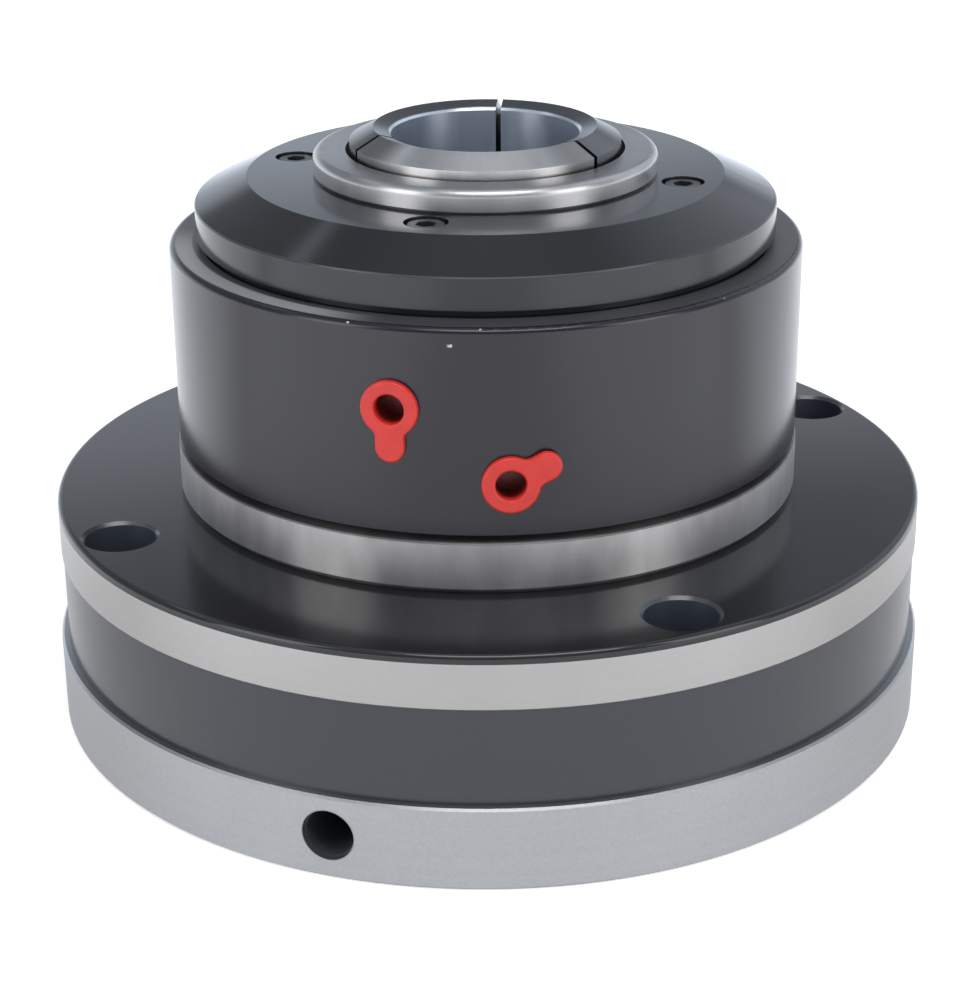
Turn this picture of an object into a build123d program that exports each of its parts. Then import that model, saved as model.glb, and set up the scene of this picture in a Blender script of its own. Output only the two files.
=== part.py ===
from build123d import *
import os
from math import cos, radians, sin, tan

# Pneumatic rotary collet chuck, in millimetres.
# +Z is the spindle axis, and the origin is the centre of the back plate's underside.
# Azimuths are degrees about +Z from +X. The air ports face -Y.
# The back plate, spindle body, collet and cap turn together; the air ring stands still.

# Fits, each measured on the radius
RUNNING_FIT = 0.05
SEATED_FIT = 0.02
THREAD_FIT = 0.03

# Room that a cut is given past the face it opens
CUT_OVERRUN = 1.0

# Collet
COLLET_BORE_RADIUS = 21.0
COLLET_WALL = 3.0
COLLET_RELIEF_DEPTH = 0.8
COLLET_WAIST_STEP = 0.8
COLLET_GRIP_LENGTH = 36.0
COLLET_LENGTH = 94.0
COLLET_GUIDE_LENGTH = 14.0
COLLET_HEAD_STEP = 8.5
COLLET_HEAD_LENGTH = 10.0
COLLET_CONE_ANGLE = 15.0
COLLET_SHOULDER_WIDTH = 2.2
COLLET_NECK_HEIGHT = 2.0
COLLET_CROWN_HEIGHT = 2.9
COLLET_CROWN_WIDTH = 3.9
COLLET_MOUTH_DEPTH = 1.0
COLLET_MOUTH_EDGE = 0.7
COLLET_SLIT_COUNT = 3
COLLET_SLIT_WIDTH = 1.2
COLLET_SLIT_AZIMUTH = 81.7
COLLET_SLIT_FLOOR = 18.0
COLLET_SLIT_END_RADIUS = 1.5

# Closer sleeve
CLOSER_WALL = 1.5
CLOSER_TOP_GAP = 13.5
CLOSER_THREAD_STEP = 4.0
CLOSER_THREAD_EXTRA = 4.0
CLOSER_TRAVEL = 5.0
GUIDE_SCREW_RADIUS = 3.0
GUIDE_SCREW_SINK = 0.6
GUIDE_DOG_RADIUS = 2.0
GUIDE_DOG_LENGTH = 2.2
GUIDE_SLOT_DEPTH = 2.6
GUIDE_SCREW_AZIMUTH = 160.0
GUIDE_SCREW_KEY = 3.0

# Collet nut
NUT_BORE_GAP = 0.3
NUT_WALL = 2.7
NUT_COLLAR_STEP = 1.5
NUT_COLLAR_HEIGHT = 5.2
NUT_TOP_ROUND = 1.7
NUT_FOOT_EDGE = 0.6
NUT_THREAD_LENGTH = 9.5
NUT_LIP_HEIGHT = 4.0
NUT_OPENING_GAP = 0.9
NUT_CAP_CLEARANCE = 0.4

# Nose of the spindle body
NOSE_WALL = 13.0
NOSE_BORDER = 5.0
NOSE_BORE_FLOOR = 10.0
NOSE_TOP_GAP = 0.3
SHOULDER_HEIGHT = 2.6
SHOULDER_WIDTH = 2.8

# Bearings between the nose and the air ring
BEARING_SECTION = 8.0
BEARING_WIDTH = 8.0
RACE_THICKNESS = 3.0
BALL_RADIUS = 2.38
BALL_COUNT = 24
CAGE_HEIGHT = 6.4
CAGE_THICKNESS = 1.4

# Rotary seals and the sleeve that they run on
SLEEVE_WALL = 4.0
SEAL_HEIGHT = 3.2
SEAL_DEPTH = 5.5
SEAL_LAND = 1.2
SEAL_LIP_HEIGHT = 1.0
RING_SHOULDER = 1.1

# Air ring
RING_WALL = 13.15
RUNNING_GROOVE = 1.5
RING_SPIGOT_WALL = 4.0
RING_SPIGOT_LIFT = 0.4
RING_TOP_STEP = 2.0
RING_TOP_ROUND = 1.3
RING_FOOT_EDGE = 0.3
RING_BORE_GAP = 0.5

# Air ports and the grooves that they feed
PORT_LOWER_LIFT = 11.6
PORT_PITCH = 15.7
PORT_LOWER_AZIMUTH = -86.2
PORT_UPPER_AZIMUTH = -106.0
PORT_RADIUS = 4.4
PORT_EDGE = 0.4
PORT_DEPTH = 10.0
PORT_INNER_RADIUS = 1.8
AIR_GROOVE_HEIGHT = 4.0
AIR_GROOVE_DEPTH = 4.5

# Guard ring
GUARD_STEP = 0.3
GUARD_HEIGHT = 11.5
GUARD_REGISTER_HEIGHT = 2.0
GUARD_TOP_EDGE = 0.25
GUARD_FOOT_EDGE = 1.2

# Front cap
CAP_RIM_STEP = 6.05
CAP_RIM_HEIGHT = 6.9
CAP_RIM_GAP = 1.75
CAP_RIM_EDGE = 0.25
CAP_CONE_HEIGHT = 5.5
CAP_CONE_WIDTH = 11.8
CAP_SPIGOT_STEP = 1.5
CAP_SPIGOT_RELIEF = 0.8
CAP_LABYRINTH_GAP = 0.5
CAP_LABYRINTH_LIFT = 0.6
CAP_SCREW_COUNT = 4
CAP_SCREW_AZIMUTH = 74.0
CAP_SCREW_RADIUS = 2.5
CAP_SCREW_LENGTH = 20.0
CAP_SCREW_HEAD_RADIUS = 4.25
CAP_SCREW_HEAD_HEIGHT = 5.0
CAP_SCREW_KEY = 4.0
CAP_SCREW_SINK = 0.4
SCREW_HEAD_CLEARANCE = 0.5
SCREW_SHANK_CLEARANCE = 0.25
SCREW_TIP_CLEARANCE = 1.5
SCREW_HEAD_EDGE = 0.4
SCREW_SOCKET_DEPTH = 0.55

# Flange of the spindle body
FLANGE_WIDTH = 28.85
FLANGE_BORDER = 10.0
RIM_DEPTH = 12.1
RIM_FOOT_EDGE = 0.2
LIP_ROUND = 1.2
WAIST_STEP = 0.35
WAIST_HEIGHT = 21.7
CHAMBER_WALL = 24.0
WEB_THICKNESS = 9.1

# Back plate
PLATE_STEP = 1.4
PLATE_THICKNESS = 19.0
PLATE_TOP_EDGE = 0.5
PLATE_FOOT_EDGE = 0.8
PLATE_FOOT_WIDTH = 31.4
REGISTER_DEPTH = 5.0
PLATE_SPIGOT_HEIGHT = 6.0
SPANNER_HOLE_RADIUS = 5.7
SPANNER_HOLE_MOUTH_DEPTH = 1.5
SPANNER_HOLE_INNER_RADIUS = 5.3
SPANNER_HOLE_DEPTH = 14.0
SPANNER_HOLE_HEIGHT = 10.1
SPANNER_HOLE_AZIMUTH = -109.2

# Bolts through the flange and the back plate
BOLT_COUNT = 4
BOLT_HOLE_RADIUS = 7.9
BOLT_HOLE_EDGE = 0.7
BOLT_AZIMUTH = 25.9

# Screws from the back plate into the flange
HOUSING_SCREW_COUNT = 8
HOUSING_SCREW_AZIMUTH = BOLT_AZIMUTH + 22.5
HOUSING_SCREW_RADIUS = 4.0
HOUSING_SCREW_LENGTH = 25.0
HOUSING_SCREW_HEAD_RADIUS = 6.5
HOUSING_SCREW_HEAD_HEIGHT = 8.0
HOUSING_SCREW_KEY = 6.0
HOUSING_SCREW_SINK = 0.5

# Air passages in the spindle body
PASSAGE_RADIUS = 2.5
PASSAGE_INSET = 7.0
UPPER_PASSAGE_AZIMUTH = -109.5
LOWER_PASSAGE_AZIMUTH = 70.5
WALL_PASSAGE_RADIUS = 2.0
WALL_PASSAGE_INSET = 4.0
WALL_PASSAGE_MOUTH_LIFT = 2.5
PASSAGE_PLUG_LENGTH = 4.0
PASSAGE_PLUG_SINK = 1.0

# Piston
PISTON_THICKNESS = 12.0
PISTON_TOP_GAP = 0.5
PISTON_EDGE = 0.8
PISTON_HUB_WALL = 6.0
PISTON_HUB_LIFT = 8.0
PISTON_BORE_GAP = 0.5
PISTON_SIDE_GAP = 0.1
GUIDE_RING_HEIGHT = 3.2
GUIDE_RING_THICKNESS = 1.9
GUIDE_RING_LIFT = 1.6

# Round seals
SEAL_CORD_RADIUS = 1.4
PISTON_SEAL_CORD_RADIUS = 2.1
GROOVE_SIDE_ROOM = 0.6

# Port plugs
PLUG_FLANGE_RADIUS = 6.1
PLUG_FLANGE_THICKNESS = 1.4
PLUG_EDGE = 0.3
PLUG_STEM_LENGTH = 8.0
PLUG_RECESS_RADIUS = 3.2
PLUG_RECESS_DEPTH = 6.5
PLUG_TAB_WIDTH = 6.2
PLUG_TAB_REACH = 11.5
PLUG_TAB_FILLET = 2.0
PLUG_UPPER_TAB_ANGLE = -90.0
PLUG_LOWER_TAB_ANGLE = 28.0

# Radii, worked out from the collet's bore outwards
collet_relief_radius = COLLET_BORE_RADIUS + COLLET_RELIEF_DEPTH
collet_crown_radius = COLLET_BORE_RADIUS + COLLET_CROWN_WIDTH
collet_body_radius = COLLET_BORE_RADIUS + COLLET_WALL
collet_waist_radius = collet_body_radius - COLLET_WAIST_STEP
collet_head_radius = collet_body_radius + COLLET_HEAD_STEP
collet_neck_radius = collet_head_radius - COLLET_SHOULDER_WIDTH
closer_bore_radius = collet_body_radius + RUNNING_FIT
closer_radius = collet_head_radius + CLOSER_WALL
closer_guide_radius = closer_radius + RUNNING_FIT
closer_thread_radius = closer_radius - CLOSER_THREAD_STEP
nut_opening_radius = collet_neck_radius + NUT_OPENING_GAP
nut_bore_radius = closer_radius + NUT_BORE_GAP
nut_thread_radius = nut_bore_radius + NUT_WALL
nut_radius = nut_thread_radius + NUT_COLLAR_STEP
bearing_bore_radius = nut_thread_radius + NOSE_WALL
nose_radius = bearing_bore_radius - SEATED_FIT
passage_circle_radius = bearing_bore_radius - PASSAGE_INSET
cap_screw_circle_radius = bearing_bore_radius - NOSE_BORDER
sleeve_radius = bearing_bore_radius + SLEEVE_WALL
ring_bore_radius = sleeve_radius + RING_BORE_GAP
bearing_outer_radius = bearing_bore_radius + BEARING_SECTION
ball_circle_radius = (bearing_bore_radius + bearing_outer_radius) / 2
raceway_radius = BALL_RADIUS + RUNNING_FIT
ring_spigot_radius = bearing_outer_radius + RING_SPIGOT_WALL
ring_radius = bearing_outer_radius + RING_WALL
guard_bore_radius = ring_spigot_radius + RUNNING_GROOVE
guard_radius = ring_radius + GUARD_STEP
cap_rim_radius = ring_radius - CAP_RIM_STEP
cap_spigot_radius = cap_rim_radius - CAP_SPIGOT_STEP
cap_flat_radius = cap_rim_radius - CAP_CONE_WIDTH
rim_radius = ring_radius + FLANGE_WIDTH
waist_radius = rim_radius - WAIST_STEP
bolt_circle_radius = rim_radius - FLANGE_BORDER
chamber_radius = rim_radius - CHAMBER_WALL
housing_screw_circle_radius = chamber_radius + CHAMBER_WALL / 2
wall_passage_circle_radius = chamber_radius + WALL_PASSAGE_INSET
plate_radius = rim_radius + PLATE_STEP
plate_register_radius = plate_radius - PLATE_FOOT_WIDTH
piston_hub_radius = closer_thread_radius + PISTON_HUB_WALL
piston_bore_radius = collet_body_radius + PISTON_BORE_GAP

# Heights above the underside, worked out from the sizes
waist_top = PLATE_THICKNESS + WAIST_HEIGHT
flange_top = waist_top + RIM_DEPTH
chamber_top = flange_top - WEB_THICKNESS
chamber_floor = PLATE_THICKNESS + PLATE_SPIGOT_HEIGHT
guard_top = flange_top + GUARD_HEIGHT
ring_foot = guard_top + RUNNING_GROOVE
lower_race = flange_top + SHOULDER_HEIGHT
port_lower = ring_foot + PORT_LOWER_LIFT
port_upper = port_lower + PORT_PITCH
seal_offset = AIR_GROOVE_HEIGHT / 2 + SEAL_LAND + SEAL_HEIGHT / 2
seal_heights = (port_lower - seal_offset, (port_lower + port_upper) / 2, port_upper + seal_offset)
upper_race = seal_heights[2] + SEAL_HEIGHT / 2 + RING_SHOULDER
cap_seat = upper_race + BEARING_WIDTH
nose_top = cap_seat - NOSE_TOP_GAP
ring_top = cap_seat + RING_TOP_STEP
cap_rim_foot = ring_top + CAP_RIM_GAP
cap_top = cap_rim_foot + CAP_RIM_HEIGHT + CAP_CONE_HEIGHT
nut_foot = nose_top - NUT_THREAD_LENGTH
nut_top = cap_top + NUT_COLLAR_HEIGHT
collet_shoulder = nut_top - NUT_LIP_HEIGHT - SEATED_FIT
collet_neck_top = nut_top + COLLET_NECK_HEIGHT
collet_top = collet_neck_top + COLLET_CROWN_HEIGHT
collet_foot = collet_top - COLLET_LENGTH
closer_top = collet_shoulder - CLOSER_TOP_GAP
piston_top = chamber_top - PISTON_TOP_GAP
piston_foot = piston_top - PISTON_THICKNESS
hub_foot = REGISTER_DEPTH + PISTON_HUB_LIFT
web_passage = (flange_top + chamber_top) / 2
guide_screw_height = seal_heights[1]

# The collet's closing cone
cone_slope = tan(radians(COLLET_CONE_ANGLE))
collet_cone_top = collet_shoulder - COLLET_HEAD_LENGTH
collet_cone_foot = collet_cone_top - (collet_head_radius - collet_waist_radius) / cone_slope

# Grooves for the round seals
cord_groove_half = SEAL_CORD_RADIUS + GROOVE_SIDE_ROOM
hub_groove_radius = piston_hub_radius + RUNNING_FIT + 2 * SEAL_CORD_RADIUS
rod_groove_radius = closer_guide_radius + 2 * SEAL_CORD_RADIUS
plate_seal_height = PLATE_THICKNESS + PLATE_SPIGOT_HEIGHT / 2
hub_seal_height = (REGISTER_DEPTH + PLATE_THICKNESS) / 2


def radial_plane(azimuth, radius, height, twist=0):
    """Return the plane square to a radius, with z outwards and x at a twist above the circle."""
    angle = radians(azimuth)
    outward = Vector(cos(angle), sin(angle), 0)
    along = Vector(-sin(angle), cos(angle), 0)
    x_dir = along * cos(radians(twist)) + Vector(0, 0, sin(radians(twist)))
    return Plane(outward * radius + Vector(0, 0, height), x_dir=x_dir, z_dir=outward)


def half_section(*corners):
    """Fill the outline through (radius, height) corners in the open sketch."""
    Polygon(*corners)


def corner(sketch, radius, height):
    """Return the corner of a half section that is nearest to a point."""
    return sketch.vertices().sort_by_distance((radius, height))[0]


def ring_band(inner, outer, foot, top):
    """Fill a rectangle between two radii and two heights in the open sketch."""
    half_section((inner, foot), (outer, foot), (outer, top), (inner, top))


def underside(height):
    """Return the downward plane at a height, on which azimuths run the other way."""
    return Plane.XY.offset(height).rotated((180, 0, 0))


def groove(inner, outer, height, half_width):
    """Fill the section of a groove about a height in the open sketch."""
    ring_band(inner, outer, height - half_width, height + half_width)


def finish(piece, label):
    """Name a finished piece and write it to its own file."""
    piece.part.label = label
    export_step(piece.part, f"parts/{label}.step")


def collet_cone_radius(height):
    """Return the radius of the collet's cone at a height."""
    return collet_head_radius - (collet_cone_top - height) * cone_slope


os.makedirs("parts", exist_ok=True)

# Back plate: a turned disc that closes the piston chamber and carries the register
with BuildPart() as back_plate:
    with BuildSketch(Plane.XZ) as plate_section:
        half_section(
            (piston_hub_radius + RUNNING_FIT, REGISTER_DEPTH),
            (plate_register_radius, REGISTER_DEPTH),
            (plate_register_radius, 0),
            (plate_radius, 0),
            (plate_radius, PLATE_THICKNESS),
            (chamber_radius - SEATED_FIT, PLATE_THICKNESS),
            (chamber_radius - SEATED_FIT, chamber_floor),
            (piston_hub_radius + RUNNING_FIT, chamber_floor),
        )
        chamfer(corner(plate_section, plate_radius, PLATE_THICKNESS), PLATE_TOP_EDGE)
        chamfer(corner(plate_section, plate_radius, 0), PLATE_FOOT_EDGE)
    revolve(axis=Axis.Z)
    with BuildSketch(Plane.XZ):
        groove(chamber_radius - 2 * SEAL_CORD_RADIUS, chamber_radius, plate_seal_height, cord_groove_half)
        groove(piston_hub_radius, hub_groove_radius, hub_seal_height, cord_groove_half)
    revolve(axis=Axis.Z, mode=Mode.SUBTRACT)
    with Locations(Plane.XY):
        with PolarLocations(bolt_circle_radius, BOLT_COUNT, start_angle=BOLT_AZIMUTH):
            Hole(BOLT_HOLE_RADIUS)
    with Locations(underside(0)):
        with PolarLocations(housing_screw_circle_radius, HOUSING_SCREW_COUNT, -HOUSING_SCREW_AZIMUTH):
            CounterBoreHole(
                HOUSING_SCREW_RADIUS + SCREW_SHANK_CLEARANCE,
                HOUSING_SCREW_HEAD_RADIUS + SCREW_HEAD_CLEARANCE,
                HOUSING_SCREW_HEAD_HEIGHT + HOUSING_SCREW_SINK,
            )
    with Locations(radial_plane(SPANNER_HOLE_AZIMUTH, plate_radius, SPANNER_HOLE_HEIGHT)):
        CounterBoreHole(
            SPANNER_HOLE_INNER_RADIUS,
            SPANNER_HOLE_RADIUS,
            SPANNER_HOLE_MOUTH_DEPTH,
            SPANNER_HOLE_DEPTH,
        )
finish(back_plate, "back_plate")

# Spindle body: flange, piston chamber and nose, turned from one piece
with BuildPart() as spindle_body:
    with BuildSketch(Plane.XZ) as spindle_section:
        thread_bore = nut_thread_radius + THREAD_FIT
        shoulder_radius = bearing_bore_radius + SHOULDER_WIDTH
        guard_seat_radius = guard_bore_radius - SEATED_FIT
        register_top = flange_top + GUARD_REGISTER_HEIGHT
        half_section(
            (closer_guide_radius, chamber_top),
            (closer_guide_radius, nose_top - NOSE_BORE_FLOOR),
            (thread_bore, nose_top - NOSE_BORE_FLOOR),
            (thread_bore, nose_top),
            (nose_radius, nose_top),
            (nose_radius, lower_race),
            (shoulder_radius, lower_race),
            (shoulder_radius, register_top),
            (guard_seat_radius, register_top),
            (guard_seat_radius, flange_top),
            (rim_radius, flange_top),
            (rim_radius, waist_top),
            (waist_radius, waist_top),
            (waist_radius, PLATE_THICKNESS),
            (chamber_radius, PLATE_THICKNESS),
            (chamber_radius, chamber_top),
        )
        fillet(corner(spindle_section, rim_radius, flange_top), LIP_ROUND)
        chamfer(corner(spindle_section, rim_radius, waist_top), RIM_FOOT_EDGE)
    revolve(axis=Axis.Z)
    with BuildSketch(Plane.XZ):
        groove(closer_radius, rod_groove_radius, web_passage, cord_groove_half)
    revolve(axis=Axis.Z, mode=Mode.SUBTRACT)
    with Locations(Plane.XY.offset(flange_top)):
        with PolarLocations(bolt_circle_radius, BOLT_COUNT, start_angle=BOLT_AZIMUTH):
            CounterSinkHole(BOLT_HOLE_RADIUS, BOLT_HOLE_RADIUS + BOLT_HOLE_EDGE, counter_sink_angle=90)
    with Locations(underside(PLATE_THICKNESS)):
        with PolarLocations(housing_screw_circle_radius, HOUSING_SCREW_COUNT, -HOUSING_SCREW_AZIMUTH):
            Hole(
                HOUSING_SCREW_RADIUS + THREAD_FIT,
                HOUSING_SCREW_SINK
                + HOUSING_SCREW_HEAD_HEIGHT
                + HOUSING_SCREW_LENGTH
                - PLATE_THICKNESS
                + SCREW_TIP_CLEARANCE,
            )
    with Locations(Plane.XY.offset(nose_top)):
        with PolarLocations(cap_screw_circle_radius, CAP_SCREW_COUNT, start_angle=CAP_SCREW_AZIMUTH):
            Hole(
                CAP_SCREW_RADIUS + THREAD_FIT,
                nose_top
                - (cap_top - CAP_SCREW_SINK - CAP_SCREW_HEAD_HEIGHT - CAP_SCREW_LENGTH)
                + SCREW_TIP_CLEARANCE,
            )
    for azimuth, height in ((UPPER_PASSAGE_AZIMUTH, port_upper), (LOWER_PASSAGE_AZIMUTH, port_lower)):
        with Locations(radial_plane(azimuth, nose_radius, height)):
            Hole(PASSAGE_RADIUS, nose_radius - passage_circle_radius + PASSAGE_RADIUS)
        with Locations(underside(chamber_top)):
            with PolarLocations(passage_circle_radius, 1, start_angle=-azimuth):
                Hole(PASSAGE_RADIUS, height - chamber_top)
    with Locations(radial_plane(LOWER_PASSAGE_AZIMUTH, rim_radius, web_passage)):
        Hole(PASSAGE_RADIUS, rim_radius - passage_circle_radius)
    with Locations(underside(PLATE_THICKNESS)):
        with PolarLocations(wall_passage_circle_radius, 1, start_angle=-LOWER_PASSAGE_AZIMUTH):
            Hole(WALL_PASSAGE_RADIUS, web_passage - PLATE_THICKNESS)
    mouth_height = chamber_floor + WALL_PASSAGE_MOUTH_LIFT
    with BuildSketch(radial_plane(LOWER_PASSAGE_AZIMUTH, chamber_radius - CUT_OVERRUN, mouth_height)):
        Circle(WALL_PASSAGE_RADIUS)
    extrude(amount=WALL_PASSAGE_INSET + CUT_OVERRUN, mode=Mode.SUBTRACT)
    with Locations(radial_plane(GUIDE_SCREW_AZIMUTH, nose_radius, guide_screw_height)):
        Hole(GUIDE_SCREW_RADIUS + THREAD_FIT, nose_radius - closer_radius + GUIDE_DOG_LENGTH)
finish(spindle_body, "spindle_body")

# Plugs that close the drilled ends of the passages
with BuildPart() as passage_plugs:
    plug_foot = rim_radius - PASSAGE_PLUG_SINK - PASSAGE_PLUG_LENGTH
    with BuildSketch(radial_plane(LOWER_PASSAGE_AZIMUTH, plug_foot, web_passage)):
        Circle(PASSAGE_RADIUS - SEATED_FIT)
    extrude(amount=PASSAGE_PLUG_LENGTH)
    with BuildSketch(Plane.XY.offset(chamber_top)):
        with PolarLocations(passage_circle_radius, 1, start_angle=LOWER_PASSAGE_AZIMUTH):
            Circle(PASSAGE_RADIUS - SEATED_FIT)
    with BuildSketch(Plane.XY.offset(PLATE_THICKNESS)):
        with PolarLocations(wall_passage_circle_radius, 1, start_angle=LOWER_PASSAGE_AZIMUTH):
            Circle(WALL_PASSAGE_RADIUS - SEATED_FIT)
    extrude(amount=PASSAGE_PLUG_LENGTH / 2)
finish(passage_plugs, "passage_plugs")


def socket_screws(face, circle, count, azimuth, radius, length, head_radius, head_height, key):
    """Return socket-head screws on a circle, whose heads stand on a plane."""
    with BuildPart() as screws:
        with BuildSketch(face):
            with PolarLocations(circle, count, start_angle=azimuth):
                Circle(head_radius)
        extrude(amount=head_height)
        tops = screws.faces().filter_by(Plane.XY).group_by(Axis(face.origin, face.z_dir))[-1]
        chamfer(tops.edges(), SCREW_HEAD_EDGE)
        with BuildSketch(face):
            with PolarLocations(circle, count, start_angle=azimuth):
                Circle(radius)
        extrude(amount=-length)
        with BuildSketch(face.offset(head_height)):
            with PolarLocations(circle, count, start_angle=azimuth):
                RegularPolygon(key / 2, 6, major_radius=False)
        extrude(amount=-SCREW_SOCKET_DEPTH * head_height, mode=Mode.SUBTRACT)
    return screws


# Screws that hold the back plate, with their heads in the underside
housing_screws = socket_screws(
    underside(HOUSING_SCREW_SINK + HOUSING_SCREW_HEAD_HEIGHT),
    housing_screw_circle_radius,
    HOUSING_SCREW_COUNT,
    -HOUSING_SCREW_AZIMUTH,
    HOUSING_SCREW_RADIUS,
    HOUSING_SCREW_LENGTH,
    HOUSING_SCREW_HEAD_RADIUS,
    HOUSING_SCREW_HEAD_HEIGHT,
    HOUSING_SCREW_KEY,
)
finish(housing_screws, "housing_screws")

# Round seal between the back plate's spigot and the chamber
with BuildPart() as plate_seal:
    with BuildSketch(Plane.XZ):
        with Locations((chamber_radius - SEAL_CORD_RADIUS, plate_seal_height)):
            Circle(SEAL_CORD_RADIUS)
    revolve(axis=Axis.Z)
finish(plate_seal, "plate_seal")

# Round seal in the back plate, round the piston's hub
with BuildPart() as hub_seal:
    with BuildSketch(Plane.XZ):
        with Locations((hub_groove_radius - SEAL_CORD_RADIUS, hub_seal_height)):
            Circle(SEAL_CORD_RADIUS)
    revolve(axis=Axis.Z)
finish(hub_seal, "hub_seal")

# Round seal in the flange's web, round the closer sleeve
with BuildPart() as rod_seal:
    with BuildSketch(Plane.XZ):
        with Locations((rod_groove_radius - SEAL_CORD_RADIUS, web_passage)):
            Circle(SEAL_CORD_RADIUS)
    revolve(axis=Axis.Z)
finish(rod_seal, "rod_seal")

# Piston: a disc with a hub that slides in the back plate
with BuildPart() as piston:
    with BuildSketch(Plane.XZ) as piston_section:
        piston_radius = chamber_radius - PISTON_SIDE_GAP
        thread_radius = closer_thread_radius + THREAD_FIT
        thread_floor = piston_foot - CLOSER_THREAD_EXTRA
        half_section(
            (piston_bore_radius, hub_foot),
            (piston_hub_radius, hub_foot),
            (piston_hub_radius, piston_foot),
            (piston_radius, piston_foot),
            (piston_radius, piston_top),
            (thread_radius, piston_top),
            (thread_radius, thread_floor),
            (piston_bore_radius, thread_floor),
        )
        chamfer(corner(piston_section, piston_radius, piston_foot), PISTON_EDGE)
        chamfer(corner(piston_section, piston_radius, piston_top), PISTON_EDGE)
        chamfer(corner(piston_section, piston_hub_radius, hub_foot), PISTON_EDGE)
    revolve(axis=Axis.Z)
    with BuildSketch(Plane.XZ):
        piston_groove_half = PISTON_SEAL_CORD_RADIUS + GROOVE_SIDE_ROOM
        piston_seal_radius = chamber_radius - RUNNING_FIT - PISTON_SEAL_CORD_RADIUS
        piston_seal_height = piston_top - GUIDE_RING_LIFT - piston_groove_half
        guide_ring_height = piston_foot + GUIDE_RING_LIFT + GUIDE_RING_HEIGHT / 2
        guide_ring_bore = chamber_radius - RUNNING_FIT - GUIDE_RING_THICKNESS
        groove(
            piston_seal_radius - PISTON_SEAL_CORD_RADIUS,
            chamber_radius,
            piston_seal_height,
            piston_groove_half,
        )
        groove(
            guide_ring_bore - SEATED_FIT,
            chamber_radius,
            guide_ring_height,
            GUIDE_RING_HEIGHT / 2 + SEATED_FIT,
        )
    revolve(axis=Axis.Z, mode=Mode.SUBTRACT)
finish(piston, "piston")

# Round seal on the piston
with BuildPart() as piston_seal:
    with BuildSketch(Plane.XZ):
        with Locations((piston_seal_radius, piston_seal_height)):
            Circle(PISTON_SEAL_CORD_RADIUS)
    revolve(axis=Axis.Z)
finish(piston_seal, "piston_seal")

# Plastic guide ring that keeps the piston off the chamber wall
with BuildPart() as piston_guide_ring:
    with BuildSketch(Plane.XZ):
        groove(guide_ring_bore, chamber_radius - RUNNING_FIT, guide_ring_height, GUIDE_RING_HEIGHT / 2)
    revolve(axis=Axis.Z)
finish(piston_guide_ring, "piston_guide_ring")

# Closer sleeve: screwed into the piston, with the cone that shuts the collet
with BuildPart() as closer_sleeve:
    with BuildSketch(Plane.XZ):
        cone_start = collet_cone_top - (collet_head_radius - collet_body_radius) / cone_slope
        half_section(
            (closer_bore_radius, thread_floor),
            (closer_thread_radius, thread_floor),
            (closer_thread_radius, piston_top),
            (closer_radius, piston_top),
            (closer_radius, closer_top),
            (collet_cone_radius(closer_top) + RUNNING_FIT, closer_top),
            (closer_bore_radius, cone_start),
        )
    revolve(axis=Axis.Z)
    slot_foot = guide_screw_height - GUIDE_DOG_RADIUS - RUNNING_FIT
    slot_top = guide_screw_height + CLOSER_TRAVEL + GUIDE_DOG_RADIUS + RUNNING_FIT
    slot_middle = (slot_foot + slot_top) / 2
    with BuildSketch(radial_plane(GUIDE_SCREW_AZIMUTH, closer_radius - GUIDE_SLOT_DEPTH, slot_middle)):
        SlotOverall(slot_top - slot_foot, 2 * (GUIDE_DOG_RADIUS + RUNNING_FIT), rotation=90)
    extrude(amount=GUIDE_SLOT_DEPTH + CUT_OVERRUN, mode=Mode.SUBTRACT)
finish(closer_sleeve, "closer_sleeve")

# Guide screw: a grub screw in the nose whose dog point runs in the closer sleeve's slot
with BuildPart() as guide_screw:
    screw_foot = closer_guide_radius + SEATED_FIT
    with BuildSketch(radial_plane(GUIDE_SCREW_AZIMUTH, screw_foot, guide_screw_height)):
        Circle(GUIDE_SCREW_RADIUS)
    extrude(amount=nose_radius - GUIDE_SCREW_SINK - screw_foot)
    with BuildSketch(radial_plane(GUIDE_SCREW_AZIMUTH, screw_foot - GUIDE_DOG_LENGTH, guide_screw_height)):
        Circle(GUIDE_DOG_RADIUS)
    extrude(amount=GUIDE_DOG_LENGTH)
    with BuildSketch(radial_plane(GUIDE_SCREW_AZIMUTH, nose_radius - GUIDE_SCREW_SINK, guide_screw_height)):
        RegularPolygon(GUIDE_SCREW_KEY / 2, 6, major_radius=False)
    extrude(amount=-GUIDE_SCREW_KEY, mode=Mode.SUBTRACT)
finish(guide_screw, "guide_screw")

# Guard ring: seated on the flange round the foot of the air ring
with BuildPart() as guard_ring:
    with BuildSketch(Plane.XZ) as guard_section:
        ring_band(guard_bore_radius, guard_radius, flange_top, guard_top)
        chamfer(corner(guard_section, guard_radius, guard_top), GUARD_TOP_EDGE)
        chamfer(corner(guard_section, guard_radius, flange_top), GUARD_FOOT_EDGE)
    revolve(axis=Axis.Z)
finish(guard_ring, "guard_ring")

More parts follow.
